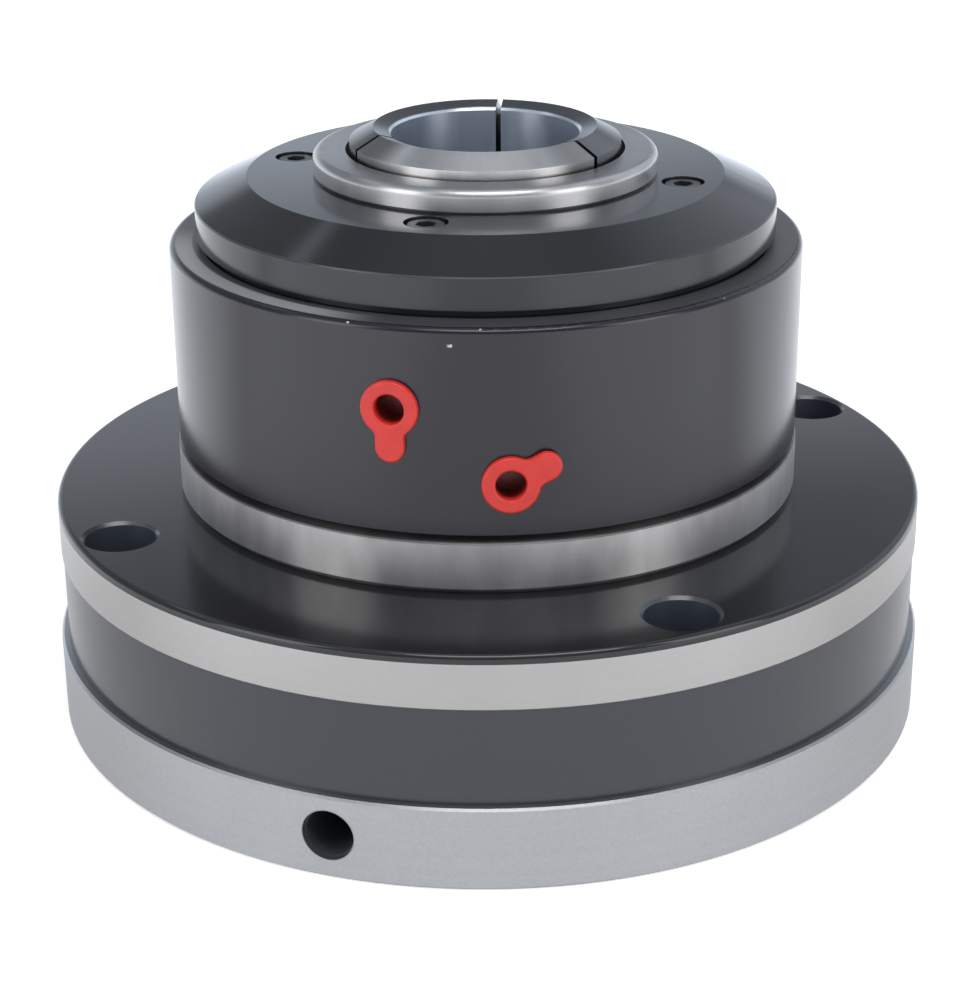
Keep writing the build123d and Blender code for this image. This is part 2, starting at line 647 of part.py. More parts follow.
# Air ring: runs on the outer races, with two ports that feed the grooves between the seals
with BuildPart() as air_ring:
    with BuildSketch(Plane.XZ) as air_section:
        race_seat = bearing_outer_radius + SEATED_FIT
        labyrinth_radius = cap_spigot_radius + CAP_LABYRINTH_GAP
        labyrinth_floor = cap_seat + CAP_SPIGOT_RELIEF - CAP_LABYRINTH_LIFT
        half_section(
            (ring_bore_radius, lower_race + BEARING_WIDTH),
            (race_seat, lower_race + BEARING_WIDTH),
            (race_seat, lower_race + RING_SPIGOT_LIFT),
            (ring_spigot_radius, lower_race + RING_SPIGOT_LIFT),
            (ring_spigot_radius, ring_foot),
            (ring_radius, ring_foot),
            (ring_radius, ring_top),
            (labyrinth_radius, ring_top),
            (labyrinth_radius, labyrinth_floor),
            (race_seat, labyrinth_floor),
            (race_seat, upper_race),
            (ring_bore_radius, upper_race),
        )
        fillet(corner(air_section, ring_radius, ring_top), RING_TOP_ROUND)
        chamfer(corner(air_section, ring_radius, ring_foot), RING_FOOT_EDGE)
    revolve(axis=Axis.Z)
    with BuildSketch(Plane.XZ):
        for height in (port_lower, port_upper):
            groove(sleeve_radius, ring_bore_radius + AIR_GROOVE_DEPTH, height, AIR_GROOVE_HEIGHT / 2)
        for height in seal_heights:
            groove(sleeve_radius, ring_bore_radius + SEAL_DEPTH, height, SEAL_HEIGHT / 2)
    revolve(axis=Axis.Z, mode=Mode.SUBTRACT)
    for azimuth, height in ((PORT_LOWER_AZIMUTH, port_lower), (PORT_UPPER_AZIMUTH, port_upper)):
        with Locations(radial_plane(azimuth, ring_radius, height)):
            CounterSinkHole(PORT_RADIUS, PORT_RADIUS + PORT_EDGE, PORT_DEPTH, counter_sink_angle=90)
            Hole(PORT_INNER_RADIUS, ring_radius - ring_bore_radius - AIR_GROOVE_DEPTH / 2)
finish(air_ring, "air_ring")

# Rotary seals, one on each side of the air grooves
for name, height in zip(("lower", "middle", "upper"), seal_heights):
    with BuildPart() as rotary_seal:
        with BuildSketch(Plane.XZ):
            seal_half = SEAL_HEIGHT / 2 - SEATED_FIT
            lip_half = SEAL_LIP_HEIGHT / 2
            seal_outer = ring_bore_radius + SEAL_DEPTH - SEATED_FIT
            half_section(
                (sleeve_radius + RUNNING_FIT, height - lip_half),
                (ring_bore_radius + RING_BORE_GAP, height - seal_half),
                (seal_outer, height - seal_half),
                (seal_outer, height + seal_half),
                (ring_bore_radius + RING_BORE_GAP, height + seal_half),
                (sleeve_radius + RUNNING_FIT, height + lip_half),
            )
        revolve(axis=Axis.Z)
    finish(rotary_seal, f"rotary_seal_{name}")

# Running sleeve: spaces the inner races, and its cross holes meet the nose's passages
with BuildPart() as running_sleeve:
    with BuildSketch(Plane.XZ):
        ring_band(bearing_bore_radius, sleeve_radius, lower_race + BEARING_WIDTH, upper_race)
    revolve(axis=Axis.Z)
    for azimuth, height in ((UPPER_PASSAGE_AZIMUTH, port_upper), (LOWER_PASSAGE_AZIMUTH, port_lower)):
        with Locations(radial_plane(azimuth, sleeve_radius, height)):
            Hole(PASSAGE_RADIUS, 2 * SLEEVE_WALL)
finish(running_sleeve, "running_sleeve")


def ball_bearing(name, foot):
    """Write the inner race, outer race, cage and balls of a bearing that stands on a height."""
    middle = foot + BEARING_WIDTH / 2
    with BuildPart() as inner_race:
        with BuildSketch(Plane.XZ):
            ring_band(bearing_bore_radius, bearing_bore_radius + RACE_THICKNESS, foot, foot + BEARING_WIDTH)
            with Locations((ball_circle_radius, middle)):
                Circle(raceway_radius, mode=Mode.SUBTRACT)
        revolve(axis=Axis.Z)
    finish(inner_race, f"{name}_inner_race")

    with BuildPart() as outer_race:
        with BuildSketch(Plane.XZ):
            ring_band(bearing_outer_radius - RACE_THICKNESS, bearing_outer_radius, foot, foot + BEARING_WIDTH)
            with Locations((ball_circle_radius, middle)):
                Circle(raceway_radius, mode=Mode.SUBTRACT)
        revolve(axis=Axis.Z)
    finish(outer_race, f"{name}_outer_race")

    with BuildPart() as cage:
        with BuildSketch(Plane.XZ):
            half_cage = CAGE_THICKNESS / 2
            groove(ball_circle_radius - half_cage, ball_circle_radius + half_cage, middle, CAGE_HEIGHT / 2)
        revolve(axis=Axis.Z)
        for index in range(BALL_COUNT):
            with Locations(radial_plane(index * 360 / BALL_COUNT, ball_circle_radius, middle)):
                Hole(raceway_radius, CAGE_THICKNESS)
    finish(cage, f"{name}_cage")

    with BuildPart() as balls:
        with Locations(Plane.XY.offset(middle)):
            with PolarLocations(ball_circle_radius, BALL_COUNT):
                Sphere(BALL_RADIUS)
    finish(balls, f"{name}_balls")


ball_bearing("lower", lower_race)
ball_bearing("upper", upper_race)

# Front cap: clamps the inner races, and its spigot runs in the mouth of the air ring
with BuildPart() as front_cap:
    with BuildSketch(Plane.XZ) as cap_section:
        cap_bore = nut_thread_radius + NUT_CAP_CLEARANCE
        seat_radius = bearing_bore_radius + RACE_THICKNESS
        half_section(
            (cap_bore, cap_seat),
            (seat_radius, cap_seat),
            (seat_radius, cap_seat + CAP_SPIGOT_RELIEF),
            (cap_spigot_radius, cap_seat + CAP_SPIGOT_RELIEF),
            (cap_spigot_radius, cap_rim_foot),
            (cap_rim_radius, cap_rim_foot),
            (cap_rim_radius, cap_top - CAP_CONE_HEIGHT),
            (cap_flat_radius, cap_top),
            (cap_bore, cap_top),
        )
        chamfer(corner(cap_section, cap_rim_radius, cap_top - CAP_CONE_HEIGHT), CAP_RIM_EDGE)
    revolve(axis=Axis.Z)
    with Locations(Plane.XY.offset(cap_top)):
        with PolarLocations(cap_screw_circle_radius, CAP_SCREW_COUNT, start_angle=CAP_SCREW_AZIMUTH):
            CounterBoreHole(
                CAP_SCREW_RADIUS + SCREW_SHANK_CLEARANCE,
                CAP_SCREW_HEAD_RADIUS + SCREW_HEAD_CLEARANCE,
                CAP_SCREW_HEAD_HEIGHT + CAP_SCREW_SINK,
            )
finish(front_cap, "front_cap")

# Screws that hold the cap, with their heads sunk in its flat
cap_screws = socket_screws(
    Plane.XY.offset(cap_top - CAP_SCREW_SINK - CAP_SCREW_HEAD_HEIGHT),
    cap_screw_circle_radius,
    CAP_SCREW_COUNT,
    CAP_SCREW_AZIMUTH,
    CAP_SCREW_RADIUS,
    CAP_SCREW_LENGTH,
    CAP_SCREW_HEAD_RADIUS,
    CAP_SCREW_HEAD_HEIGHT,
    CAP_SCREW_KEY,
)
finish(cap_screws, "cap_screws")

# Collet nut: screwed into the nose, with a lip that holds the collet down
with BuildPart() as collet_nut:
    with BuildSketch(Plane.XZ) as nut_section:
        half_section(
            (nut_bore_radius, nut_foot),
            (nut_thread_radius, nut_foot),
            (nut_thread_radius, cap_top),
            (nut_radius, cap_top),
            (nut_radius, nut_top),
            (nut_opening_radius, nut_top),
            (nut_opening_radius, nut_top - NUT_LIP_HEIGHT),
            (nut_bore_radius, nut_top - NUT_LIP_HEIGHT),
        )
        fillet(corner(nut_section, nut_radius, nut_top), NUT_TOP_ROUND)
        chamfer(corner(nut_section, nut_radius, cap_top), NUT_FOOT_EDGE)
    revolve(axis=Axis.Z)
finish(collet_nut, "collet_nut")

# Collet: a slit sleeve whose head is held down by the nut and closed by the cone
with BuildPart() as collet:
    with BuildSketch(Plane.XZ):
        grip_foot = collet_top - COLLET_MOUTH_DEPTH - COLLET_MOUTH_EDGE - COLLET_GRIP_LENGTH
        guide_top = collet_foot + COLLET_GUIDE_LENGTH
        mouth_radius = COLLET_BORE_RADIUS + COLLET_MOUTH_EDGE
        half_section(
            (collet_relief_radius, collet_foot),
            (collet_body_radius, collet_foot),
            (collet_body_radius, guide_top),
            (collet_waist_radius, guide_top),
            (collet_waist_radius, collet_cone_foot),
            (collet_head_radius, collet_cone_top),
            (collet_head_radius, collet_shoulder),
            (collet_neck_radius, collet_shoulder),
            (collet_neck_radius, collet_neck_top),
            (collet_crown_radius, collet_top),
            (mouth_radius, collet_top - COLLET_MOUTH_DEPTH),
            (COLLET_BORE_RADIUS, collet_top - COLLET_MOUTH_DEPTH - COLLET_MOUTH_EDGE),
            (COLLET_BORE_RADIUS, grip_foot),
            (collet_relief_radius, grip_foot),
        )
    revolve(axis=Axis.Z)
    for index in range(COLLET_SLIT_COUNT):
        azimuth = COLLET_SLIT_AZIMUTH + index * 360 / COLLET_SLIT_COUNT
        slit_foot = collet_foot + COLLET_SLIT_FLOOR
        with BuildSketch(radial_plane(azimuth, 0, slit_foot)):
            with Locations((0, (collet_top - slit_foot) / 2)):
                Rectangle(COLLET_SLIT_WIDTH, collet_top - slit_foot)
            Circle(COLLET_SLIT_END_RADIUS)
        extrude(amount=collet_head_radius + CUT_OVERRUN, mode=Mode.SUBTRACT)
finish(collet, "collet")


def port_plug(label, azimuth, height, tab_angle):
    """Write a hollow pull-tab plug that closes an air port."""
    face = radial_plane(azimuth, ring_radius + SEATED_FIT, height, tab_angle)
    tab_end = PLUG_TAB_REACH - PLUG_TAB_WIDTH / 2
    with BuildPart() as plug:
        with BuildSketch(face) as flange_outline:
            Circle(PLUG_FLANGE_RADIUS)
            with Locations((tab_end / 2, 0)):
                SlotCenterToCenter(tab_end, PLUG_TAB_WIDTH)
            fillet(flange_outline.vertices().group_by(Axis.X)[0], PLUG_TAB_FILLET)
        extrude(amount=PLUG_FLANGE_THICKNESS)
        outer_face = plug.faces().sort_by(Axis(face.origin, face.z_dir))[-1]
        chamfer(outer_face.edges(), PLUG_EDGE)
        with BuildSketch(face):
            Circle(PORT_RADIUS - RUNNING_FIT)
        extrude(amount=-PLUG_STEM_LENGTH)
        with BuildSketch(face.offset(PLUG_FLANGE_THICKNESS)):
            Circle(PLUG_RECESS_RADIUS)
        extrude(amount=-PLUG_RECESS_DEPTH, mode=Mode.SUBTRACT)
    finish(plug, label)


port_plug("port_plug_lower", PORT_LOWER_AZIMUTH, port_lower, PLUG_LOWER_TAB_ANGLE)
port_plug("port_plug_upper", PORT_UPPER_AZIMUTH, port_upper, PLUG_UPPER_TAB_ANGLE)
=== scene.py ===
"""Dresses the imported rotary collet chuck: finishes, moulded plugs, studio and camera."""

import logging
import math
from dataclasses import dataclass
from enum import Enum
from typing import Any, Union

import bmesh
import bpy
from mathutils import Matrix, Vector


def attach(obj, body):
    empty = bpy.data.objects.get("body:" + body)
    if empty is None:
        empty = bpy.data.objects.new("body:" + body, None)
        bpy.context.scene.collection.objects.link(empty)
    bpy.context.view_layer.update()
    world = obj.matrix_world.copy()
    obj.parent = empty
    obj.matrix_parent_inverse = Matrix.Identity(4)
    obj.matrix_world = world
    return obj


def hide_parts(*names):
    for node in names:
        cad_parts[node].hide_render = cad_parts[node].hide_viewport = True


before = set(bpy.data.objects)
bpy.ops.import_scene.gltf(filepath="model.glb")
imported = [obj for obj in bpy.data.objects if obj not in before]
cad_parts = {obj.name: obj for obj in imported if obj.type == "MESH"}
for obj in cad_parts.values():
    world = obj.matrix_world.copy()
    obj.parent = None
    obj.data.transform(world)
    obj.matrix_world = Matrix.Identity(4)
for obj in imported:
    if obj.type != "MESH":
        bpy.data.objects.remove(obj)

MM = 0.001
LOG = logging.getLogger("chuck")

Color = tuple[float, float, float]
Value = Union["Wire", float]


class Wire:
    """A value in a node tree, on which Python's operators add Math nodes."""

    def __init__(self, graph: "Graph", socket: bpy.types.NodeSocket) -> None:
        """Keep the graph and the socket that carries the value."""
        self.graph = graph
        self.socket = socket

    def __add__(self, other: Value) -> "Wire":
        """Return the sum."""
        return self.graph.maths("ADD", self, other)

    def __radd__(self, other: Value) -> "Wire":
        """Return the sum of a number and the value."""
        return self.graph.maths("ADD", other, self)

    def __sub__(self, other: Value) -> "Wire":
        """Return the difference."""
        return self.graph.maths("SUBTRACT", self, other)

    def __rsub__(self, other: Value) -> "Wire":
        """Return a number less the value."""
        return self.graph.maths("SUBTRACT", other, self)

    def __mul__(self, other: Value) -> "Wire":
        """Return the product."""
        return self.graph.maths("MULTIPLY", self, other)

    def __rmul__(self, other: Value) -> "Wire":
        """Return the product of a number and the value."""
        return self.graph.maths("MULTIPLY", other, self)

    def __truediv__(self, other: Value) -> "Wire":
        """Return the quotient."""
        return self.graph.maths("DIVIDE", self, other)

    def __pow__(self, other: Value) -> "Wire":
        """Return the power."""
        return self.graph.maths("POWER", self, other)


class Graph:
    """A node tree that is emptied and then built node by node."""

    def __init__(self, tree: bpy.types.NodeTree) -> None:
        """Empty the tree."""
        self.tree = tree
        tree.nodes.clear()

    def node(self, kind: str, settings: dict[str, Any], sockets: dict[Any, Any]) -> bpy.types.Node:
        """Add a node.

        Args:
            kind: the node's type.
            settings: its own settings, set first. "stops" are a ramp's (place, colour) pairs.
            sockets: numbers, colours or Wires for its inputs, by name or index.

        Returns:
            The node.
        """
        made = self.tree.nodes.new(kind)
        for name, value in settings.items():
            if name == "stops":
                for index, (place, color) in enumerate(value):
                    ramp = made.color_ramp.elements
                    stop = ramp[index] if index < len(ramp) else ramp.new(place)
                    stop.position, stop.color = place, (*color, 1.0)
            else:
                setattr(made, name, value)
        for key, value in sockets.items():
            if isinstance(value, Wire):
                self.tree.links.new(value.socket, made.inputs[key])
            else:
                made.inputs[key].default_value = value
        return made

    def wire(self, node: bpy.types.Node, output: Union[str, int] = 0) -> Wire:
        """Return one output of a node as a Wire."""
        return Wire(self, node.outputs[output])

    def point(self, output: str = "Object") -> Wire:
        """Return the point of the surface, as one of the texture coordinates."""
        return self.wire(self.node("ShaderNodeTexCoord", {}, {}), output)

    def split(self, vector: Wire) -> tuple[Wire, Wire, Wire]:
        """Return the x, y and z of a vector."""
        made = self.node("ShaderNodeSeparateXYZ", {}, {0: vector})
        return self.wire(made, 0), self.wire(made, 1), self.wire(made, 2)

    def surface(self, shader: bpy.types.Node, output: str = "ShaderNodeOutputMaterial") -> None:
        """Join a shader to the output of the tree."""
        self.node(output, {}, {"Surface": self.wire(shader)})

    def maths(self, operation: str, first: Value, second: Value) -> Wire:
        """Return the result of a Math node on two values."""
        return self.wire(self.node("ShaderNodeMath", {"operation": operation}, {0: first, 1: second}))

    def rise(self, value: Wire, low: Value, high: Value, start: float = 0.0, end: float = 1.0) -> Wire:
        """Return a smooth step of a value.

        Args:
            value: what steps.
            low: the value at which the step starts.
            high: the value at which it ends.
            start: the result up to low.
            end: the result from high on.

        Returns:
            The stepped value.
        """
        settings = {"interpolation_type": "SMOOTHSTEP"}
        sockets = {"Value": value, "From Min": low, "From Max": high, "To Min": start, "To Max": end}
        return self.wire(self.node("ShaderNodeMapRange", settings, sockets))

    def mix(self, factor: Value, first: Any, second: Any) -> Wire:
        """Return a colour between two colours or colour Wires.

        Args:
            factor: 0 gives the first colour and 1 the second.
            first: the first colour.
            second: the second colour.

        Returns:
            The mixed colour.
        """
        sides = [c if isinstance(c, Wire) else (*c, 1.0) for c in (first, second)]
        made = self.node("ShaderNodeMix", {"data_type": "RGBA"}, {0: factor, 6: sides[0], 7: sides[1]})
        return self.wire(made, 2)

    def tint(self, color: Any, tone: Wire) -> Wire:
        """Return a colour made lighter or darker by a tone around 1."""
        first = color if isinstance(color, Wire) else (*color, 1.0)
        settings = {"data_type": "RGBA", "blend_type": "MULTIPLY"}
        return self.wire(self.node("ShaderNodeMix", settings, {0: 1.0, 6: first, 7: tone}), 2)

    def vector(self, x: Value, y: Value, z: Value) -> Wire:
        """Return a vector of three values."""
        return self.wire(self.node("ShaderNodeCombineXYZ", {}, {0: x, 1: y, 2: z}))

    def noise(self, place: Wire, scale: float, detail: float = 2.0) -> Wire:
        """Return noise around 0.5 at a place in space."""
        sockets = {"Vector": place, "Scale": scale, "Detail": detail}
        return self.wire(self.node("ShaderNodeTexNoise", {}, sockets), 0)

    def stripes(self, along: Wire, pitch: float, detail: float = 2.0) -> Wire:
        """Return noise around 0.5 that varies along one value only.

        Args:
            along: the value, in metres.
            pitch: the usual distance between stripes, in metres.
            detail: how many finer layers it has.

        Returns:
            The noise.
        """
        sockets = {"W": along, "Scale": 1.0 / pitch, "Detail": detail}
        return self.wire(self.node("ShaderNodeTexNoise", {"noise_dimensions": "1D"}, sockets), 0)


def blank(name: str) -> tuple[bpy.types.Material, Graph]:
    """Return a new material and its emptied node tree."""
    made = bpy.data.materials.new(name)
    made.use_nodes = True
    return made, Graph(made.node_tree)


@dataclass(frozen=True)
class Step:
    """A smooth step from one result to another, between two values of a measure."""

    low: float
    high: float
    start: float = 0.0
    end: float = 1.0

    def of(self, measure: Wire) -> Wire:
        """Return the step of a measure."""
        return measure.graph.rise(measure, self.low, self.high, self.start, self.end)


class About(Enum):
    """The axis that a window's distances are measured from."""

    SPINDLE = "spindle"
    BOLT_HOLES = "bolt_holes"
    SPANNER_HOLE = "spanner_hole"


@dataclass(frozen=True)
class Place:
    """Where a point of a surface is, in metres, worked out once for a whole material."""

    graph: Graph
    point: Wire
    x: Wire
    y: Wire
    radius: Wire
    height: Wire

    def facing(self, azimuth: float) -> Wire:
        """Return how far the point lies towards an azimuth in degrees."""
        angle = math.radians(azimuth)
        return self.x * math.cos(angle) + self.y * math.sin(angle)

    def measured(self, about: About) -> tuple[Wire, Wire]:
        """Return the distance from an axis, and the place along it.

        Args:
            about: the spindle's axis, the nearest bolt hole's, or the spanner hole's.

        Returns:
            The distance and the place, in metres.
        """
        if about is About.BOLT_HOLES:
            sides = [
                self.graph.maths("ABSOLUTE", self.facing(BOLT_AZIMUTH + turn), 0.0) for turn in (0.0, 90.0)
            ]
            near = self.graph.maths("MAXIMUM", *sides) - BOLT_CIRCLE * MM
            side = self.graph.maths("MINIMUM", *sides)
            return (near * near + side * side) ** 0.5, self.height
        if about is About.SPANNER_HOLE:
            side = self.facing(SPANNER_AZIMUTH + 90.0)
            rise = self.height - SPANNER_HEIGHT * MM
            return (side * side + rise * rise) ** 0.5, self.facing(SPANNER_AZIMUTH)
        return self.radius, self.height


@dataclass(frozen=True)
class Zone:
    """How one region of a surface looks before its marks."""

    color: Color
    roughness: float
    metallic: float = 0.0
    coat: float = 0.0


@dataclass(frozen=True)
class Window:
    """A region between two distances from an axis and two places along it, in millimetres."""

    inner: float
    outer: float
    foot: float
    top: float
    soft: float = 0.05
    about: About = About.SPINDLE

    def mask(self, place: Place) -> Wire:
        """Return 1 inside the region and 0 outside it."""
        edge = self.soft * MM
        distance, along = place.measured(self.about)
        within = []
        for value, low, high in ((distance, self.inner, self.outer), (along, self.foot, self.top)):
            within.append(place.graph.rise(value, low * MM - edge, low * MM + edge))
            within.append(place.graph.rise(value, high * MM - edge, high * MM + edge, 1.0, 0.0))
        return within[0] * within[1] * (within[2] * within[3])


@dataclass(frozen=True)
class Sector:
    """The part of a window within an angle of one azimuth, in degrees."""

    window: Window
    azimuth: float
    half: float
    soft: float = 0.4

    def mask(self, place: Place) -> Wire:
        """Return 1 inside the sector and 0 outside it."""
        low, high = (math.cos(math.radians(self.half + spread)) for spread in (self.soft, -self.soft))
        towards = place.facing(self.azimuth) / place.radius
        return self.window.mask(place) * place.graph.rise(towards, low, high)


@dataclass(frozen=True)
class Round:
    """The round on a turned edge: the radius and height at which its centre runs, in millimetres."""

    radius: float
    height: float

    def normal(self, place: Place, normal: Wire) -> Wire:
        """Return the surface's normal with the round's own in its stead.

        Args:
            place: the point of the surface.
            normal: the normal of the mesh, whose facets show in a narrow round.

        Returns:
            The normal, in the piece's own axes. They are the world's while the piece isn't turned.
        """
        graph = place.graph
        out, up = place.radius - self.radius * MM, place.height - self.height * MM
        true = graph.vector(place.x / place.radius * out, place.y / place.radius * out, up)
        unit = graph.node("ShaderNodeVectorMath", {"operation": "NORMALIZE"}, {0: true})
        on_round = graph.maths("GREATER_THAN", out, 0.0) * graph.maths("GREATER_THAN", up, 0.0)
        sockets = {0: on_round, 4: normal, 5: graph.wire(unit)}
        return graph.wire(graph.node("ShaderNodeMix", {"data_type": "VECTOR"}, sockets), 1)


@dataclass(frozen=True)
class Spot:
    """A small mark at one place on a piece, such as a nick, in millimetres and degrees.

    Its core, edge and raggedness are shares of its size.
    """

    azimuth: float
    radius: float
    height: float
    size: float
    flatness: float = 1.8
    core: float = 0.25
    edge: float = 0.6
    raggedness: float = 0.8
    ragged_scale: float = 2600.0

    def centre(self) -> Vector:
        """Return the mark's place in metres."""
        angle = math.radians(self.azimuth)
        return Vector((self.radius * math.cos(angle), self.radius * math.sin(angle), self.height)) * MM

    def mask(self, place: Place) -> Wire:
        """Return 1 at the mark and 0 away from it, with a ragged edge."""
        graph = place.graph
        offset = {0: place.point, 1: self.centre()}
        away = graph.node("ShaderNodeVectorMath", {"operation": "SUBTRACT"}, offset)
        squeeze = {0: graph.wire(away), 1: (1.0, 1.0, self.flatness)}
        flat = graph.node("ShaderNodeVectorMath", {"operation": "MULTIPLY"}, squeeze)
        length = graph.node("ShaderNodeVectorMath", {"operation": "LENGTH"}, {0: graph.wire(flat)})
        ragged = graph.noise(place.point, self.ragged_scale) - 0.5
        reach = graph.wire(length, "Value") + ragged * (self.size * self.raggedness * MM)
        return graph.rise(reach, self.size * self.core * MM, self.size * self.edge * MM, 1.0, 0.0)


# What every turned finish has alike. Noise scales are per metre.
MARK_SLANT = 1.3  # tool marks run this much faster up a wall than across a face
BAND_PITCHES = 9  # a broad band of marks is this many marks wide
BROAD_STREAK = 4  # a broad streak is this many times as wide as a fine one
STREAK_LENGTH = 4.0  # a low number draws the streaks out along the surface
GRAIN_SCALE = 1400.0
BLOTCH_SCALE = 38.0
MARK_ROUGHNESS = 0.8
STREAK_ROUGHNESS = 0.5
BLOTCH_ROUGHNESS = 0.07
GRAIN_RELIEF = 0.5
QUARTER_TURN = 0.25
DUST_COLOR = (0.32, 0.33, 0.35)
DUST_ROUGHNESS = 0.4
DUST_SCALE = 260.0
DUST_EDGE = Step(0.02, 0.055, 1.0, 0.0)


@dataclass(frozen=True)
class Turned:
    """A finish left by a lathe: zones, rings of tool marks, upright streaks of painted reflection, dust and
    nicks.
    """

    name: str
    base: Zone
    zones: tuple[tuple[Union[Window, Sector], Zone], ...] = ()
    ior: float = 1.5
    anisotropy: float = 0.0
    mark_pitch: float = 0.25
    mark_depth: float = 0.0
    mark_contrast: float = 0.06
    # Tone in upright streaks, painted to stand for the streaky reflections of turned metal.
    streaks: float = 0.06
    streak_rate: float = 9.0
    grain: float = 0.03
    dust: float = 0.0
    rounds: tuple[Round, ...] = ()
    spots: tuple[Spot, ...] = ()
    spot_color: Color = (0.6, 0.61, 0.63)

    def material(self) -> bpy.types.Material:
        """Return the finish as a material."""
        made, graph = blank(self.name)
        point = graph.point()
        x, y, height = graph.split(point)
        place = Place(graph, point, x, y, (x * x + y * y) ** 0.5, height)
        along = place.radius - height * MARK_SLANT
        color, roughness, metallic, coat = self._zoned(place)
        marks = graph.stripes(along, self.mark_pitch * MM) - 0.5
        bands = graph.stripes(along, self.mark_pitch * BAND_PITCHES * MM) - 0.5
        around = graph.vector(x / place.radius, y / place.radius, along * STREAK_LENGTH)
        fine = graph.noise(around, self.streak_rate, 3.0) - 0.5
        broad = graph.noise(around, self.streak_rate / BROAD_STREAK, 2.0) - 0.5
        grain = graph.noise(point, GRAIN_SCALE, 3.0) - 0.5
        blotch = graph.noise(point, BLOTCH_SCALE, 4.0) - 0.5
        tone = (marks + bands) * self.mark_contrast + (fine + broad) * self.streaks + grain * self.grain
        painted = graph.tint(color, tone * 2.0 + 1.0)
        worked = (marks * MARK_ROUGHNESS + fine * STREAK_ROUGHNESS) * self.mark_contrast
        rough = roughness + worked + blotch * BLOTCH_ROUGHNESS
        if self.dust:
            flecks = self._dust(place)
            painted = graph.mix(flecks, painted, DUST_COLOR)
            rough = rough + flecks * DUST_ROUGHNESS
        for spot in self.spots:
            painted = graph.mix(spot.mask(place), painted, self.spot_color)
        sockets: dict[Any, Any] = {
            "Base Color": painted,
            "Roughness": rough,
            "Metallic": metallic,
            "Coat Weight": coat,
            "IOR": self.ior,
            "Anisotropic": self.anisotropy,
            "Anisotropic Rotation": QUARTER_TURN,
        }
        if self.mark_depth:
            ridges = marks + bands + grain * GRAIN_RELIEF
            relief = {"Strength": 1.0, "Distance": self.mark_depth * MM, "Height": ridges}
            if self.rounds:
                relief["Normal"] = self._rounded(place)
            sockets["Normal"] = graph.wire(graph.node("ShaderNodeBump", {}, relief))
        graph.surface(graph.node("ShaderNodeBsdfPrincipled", {}, sockets))
        return made

    def _zoned(self, place: Place) -> tuple[Any, Any, Any, Any]:
        """Return the colour, roughness, metallic value and coat, mixed over the zones."""
        color: Any = self.base.color
        roughness: Any = self.base.roughness
        metallic: Any = self.base.metallic
        coat: Any = self.base.coat
        for region, zone in self.zones:
            mask = region.mask(place)
            color = place.graph.mix(mask, color, zone.color)
            roughness = roughness * (1.0 - mask) + mask * zone.roughness
            metallic = metallic * (1.0 - mask) + mask * zone.metallic
            if zone.coat:
                coat = coat * (1.0 - mask) + mask * zone.coat
        return color, roughness, metallic, coat

    def _rounded(self, place: Place) -> Wire:
        """Return the normal of the surface, true on each round."""
        normal = place.graph.wire(place.graph.node("ShaderNodeNewGeometry", {}, {}), "Normal")
        for edge in self.rounds:
            normal = edge.normal(place, normal)
        return normal

    def _dust(self, place: Place) -> Wire:
        """Return a mask of sparse flecks a fraction of a millimetre across."""
        graph = place.graph
        cells = graph.node("ShaderNodeTexVoronoi", {}, {"Vector": place.point, "Scale": DUST_SCALE})
        chance = graph.node("ShaderNodeSeparateColor", {}, {0: graph.wire(cells, "Color")})
        chosen = graph.rise(graph.wire(chance, 0), 1.0 - self.dust, 1.0 - self.dust * 0.9)
        return chosen * DUST_EDGE.of(graph.wire(cells, "Distance")) * graph.wire(chance, 1)


@dataclass(frozen=True)
class Moulded:
    """Moulded plastic or rubber with a fine grain and soft gloss."""

    name: str
    color: Color
    roughness: float
    shade: float = 0.1
    subsurface: float = 0.0
    texture: float = 0.004
    cloud_scale: float = 240.0
    cloud_edge: Step = Step(0.35, 0.7)
    grain_scale: float = 2600.0
    grain_roughness: float = 0.15
    # Painted shade: the colour is darkened within this reach of the spindle axis, in millimetres.
    painted_shade_within: float = 0.0
    painted_shade_edge: float = 2.5
    painted_shade_depth: float = 0.2

    def material(self) -> bpy.types.Material:
        """Return the finish as a material."""
        made, graph = blank(self.name)
        place = graph.point()
        clouds = graph.noise(place, self.cloud_scale, 3.0)
        grain = graph.noise(place, self.grain_scale, 2.0)
        deep = tuple(channel * (1.0 - 3.0 * self.shade) for channel in self.color)
        color = graph.mix(self.cloud_edge.of(clouds), deep, self.color)
        # Painted shade: darker within a reach of the spindle axis, over the plug's recess and stem.
        if self.painted_shade_within:
            x, y, _ = graph.split(place)
            reach = (x * x + y * y) ** 0.5
            foot = (self.painted_shade_within - self.painted_shade_edge) * MM
            color = graph.tint(color, graph.rise(reach, foot, self.painted_shade_within * MM, self.painted_shade_depth, 1.0))
        relief = {"Strength": 1.0, "Distance": self.texture * MM, "Height": grain}
        sockets = {
            "Base Color": color,
            "Roughness": (grain - 0.5) * self.grain_roughness + self.roughness,
            "Subsurface Weight": self.subsurface,
            "Subsurface Scale": MM,
            "Normal": graph.wire(graph.node("ShaderNodeBump", {}, relief)),
        }
        graph.surface(graph.node("ShaderNodeBsdfPrincipled", {}, sockets))
        return made


STEEL = (0.428, 0.418, 0.408)
HARD_STEEL = (0.5, 0.49, 0.475)
BLACK = (0.011, 0.0115, 0.0135)
BLACK_INDEX = 1.56
# Painted light: a lighter matt colour for the walls of the flange's bolt holes, so that they read grey, not
# black.
HOLE_PAINTED_LIGHT = (0.036, 0.046, 0.066)

BOLT_AZIMUTH = 25.9
BOLT_CIRCLE = 90.0
SPANNER_AZIMUTH = -109.2
SPANNER_HEIGHT = 10.1


class Body(Enum):
    """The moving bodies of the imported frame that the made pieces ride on."""

    LOWER_PLUG = "plug_lower"
    UPPER_PLUG = "plug_upper"


def dress(node: str, material: bpy.types.Material) -> None:
    """Give a CAD node its finish."""
    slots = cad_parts[node].data.materials
    slots.clear()
    slots.append(material)
    LOG.info("%s wears %s", node, material.name)


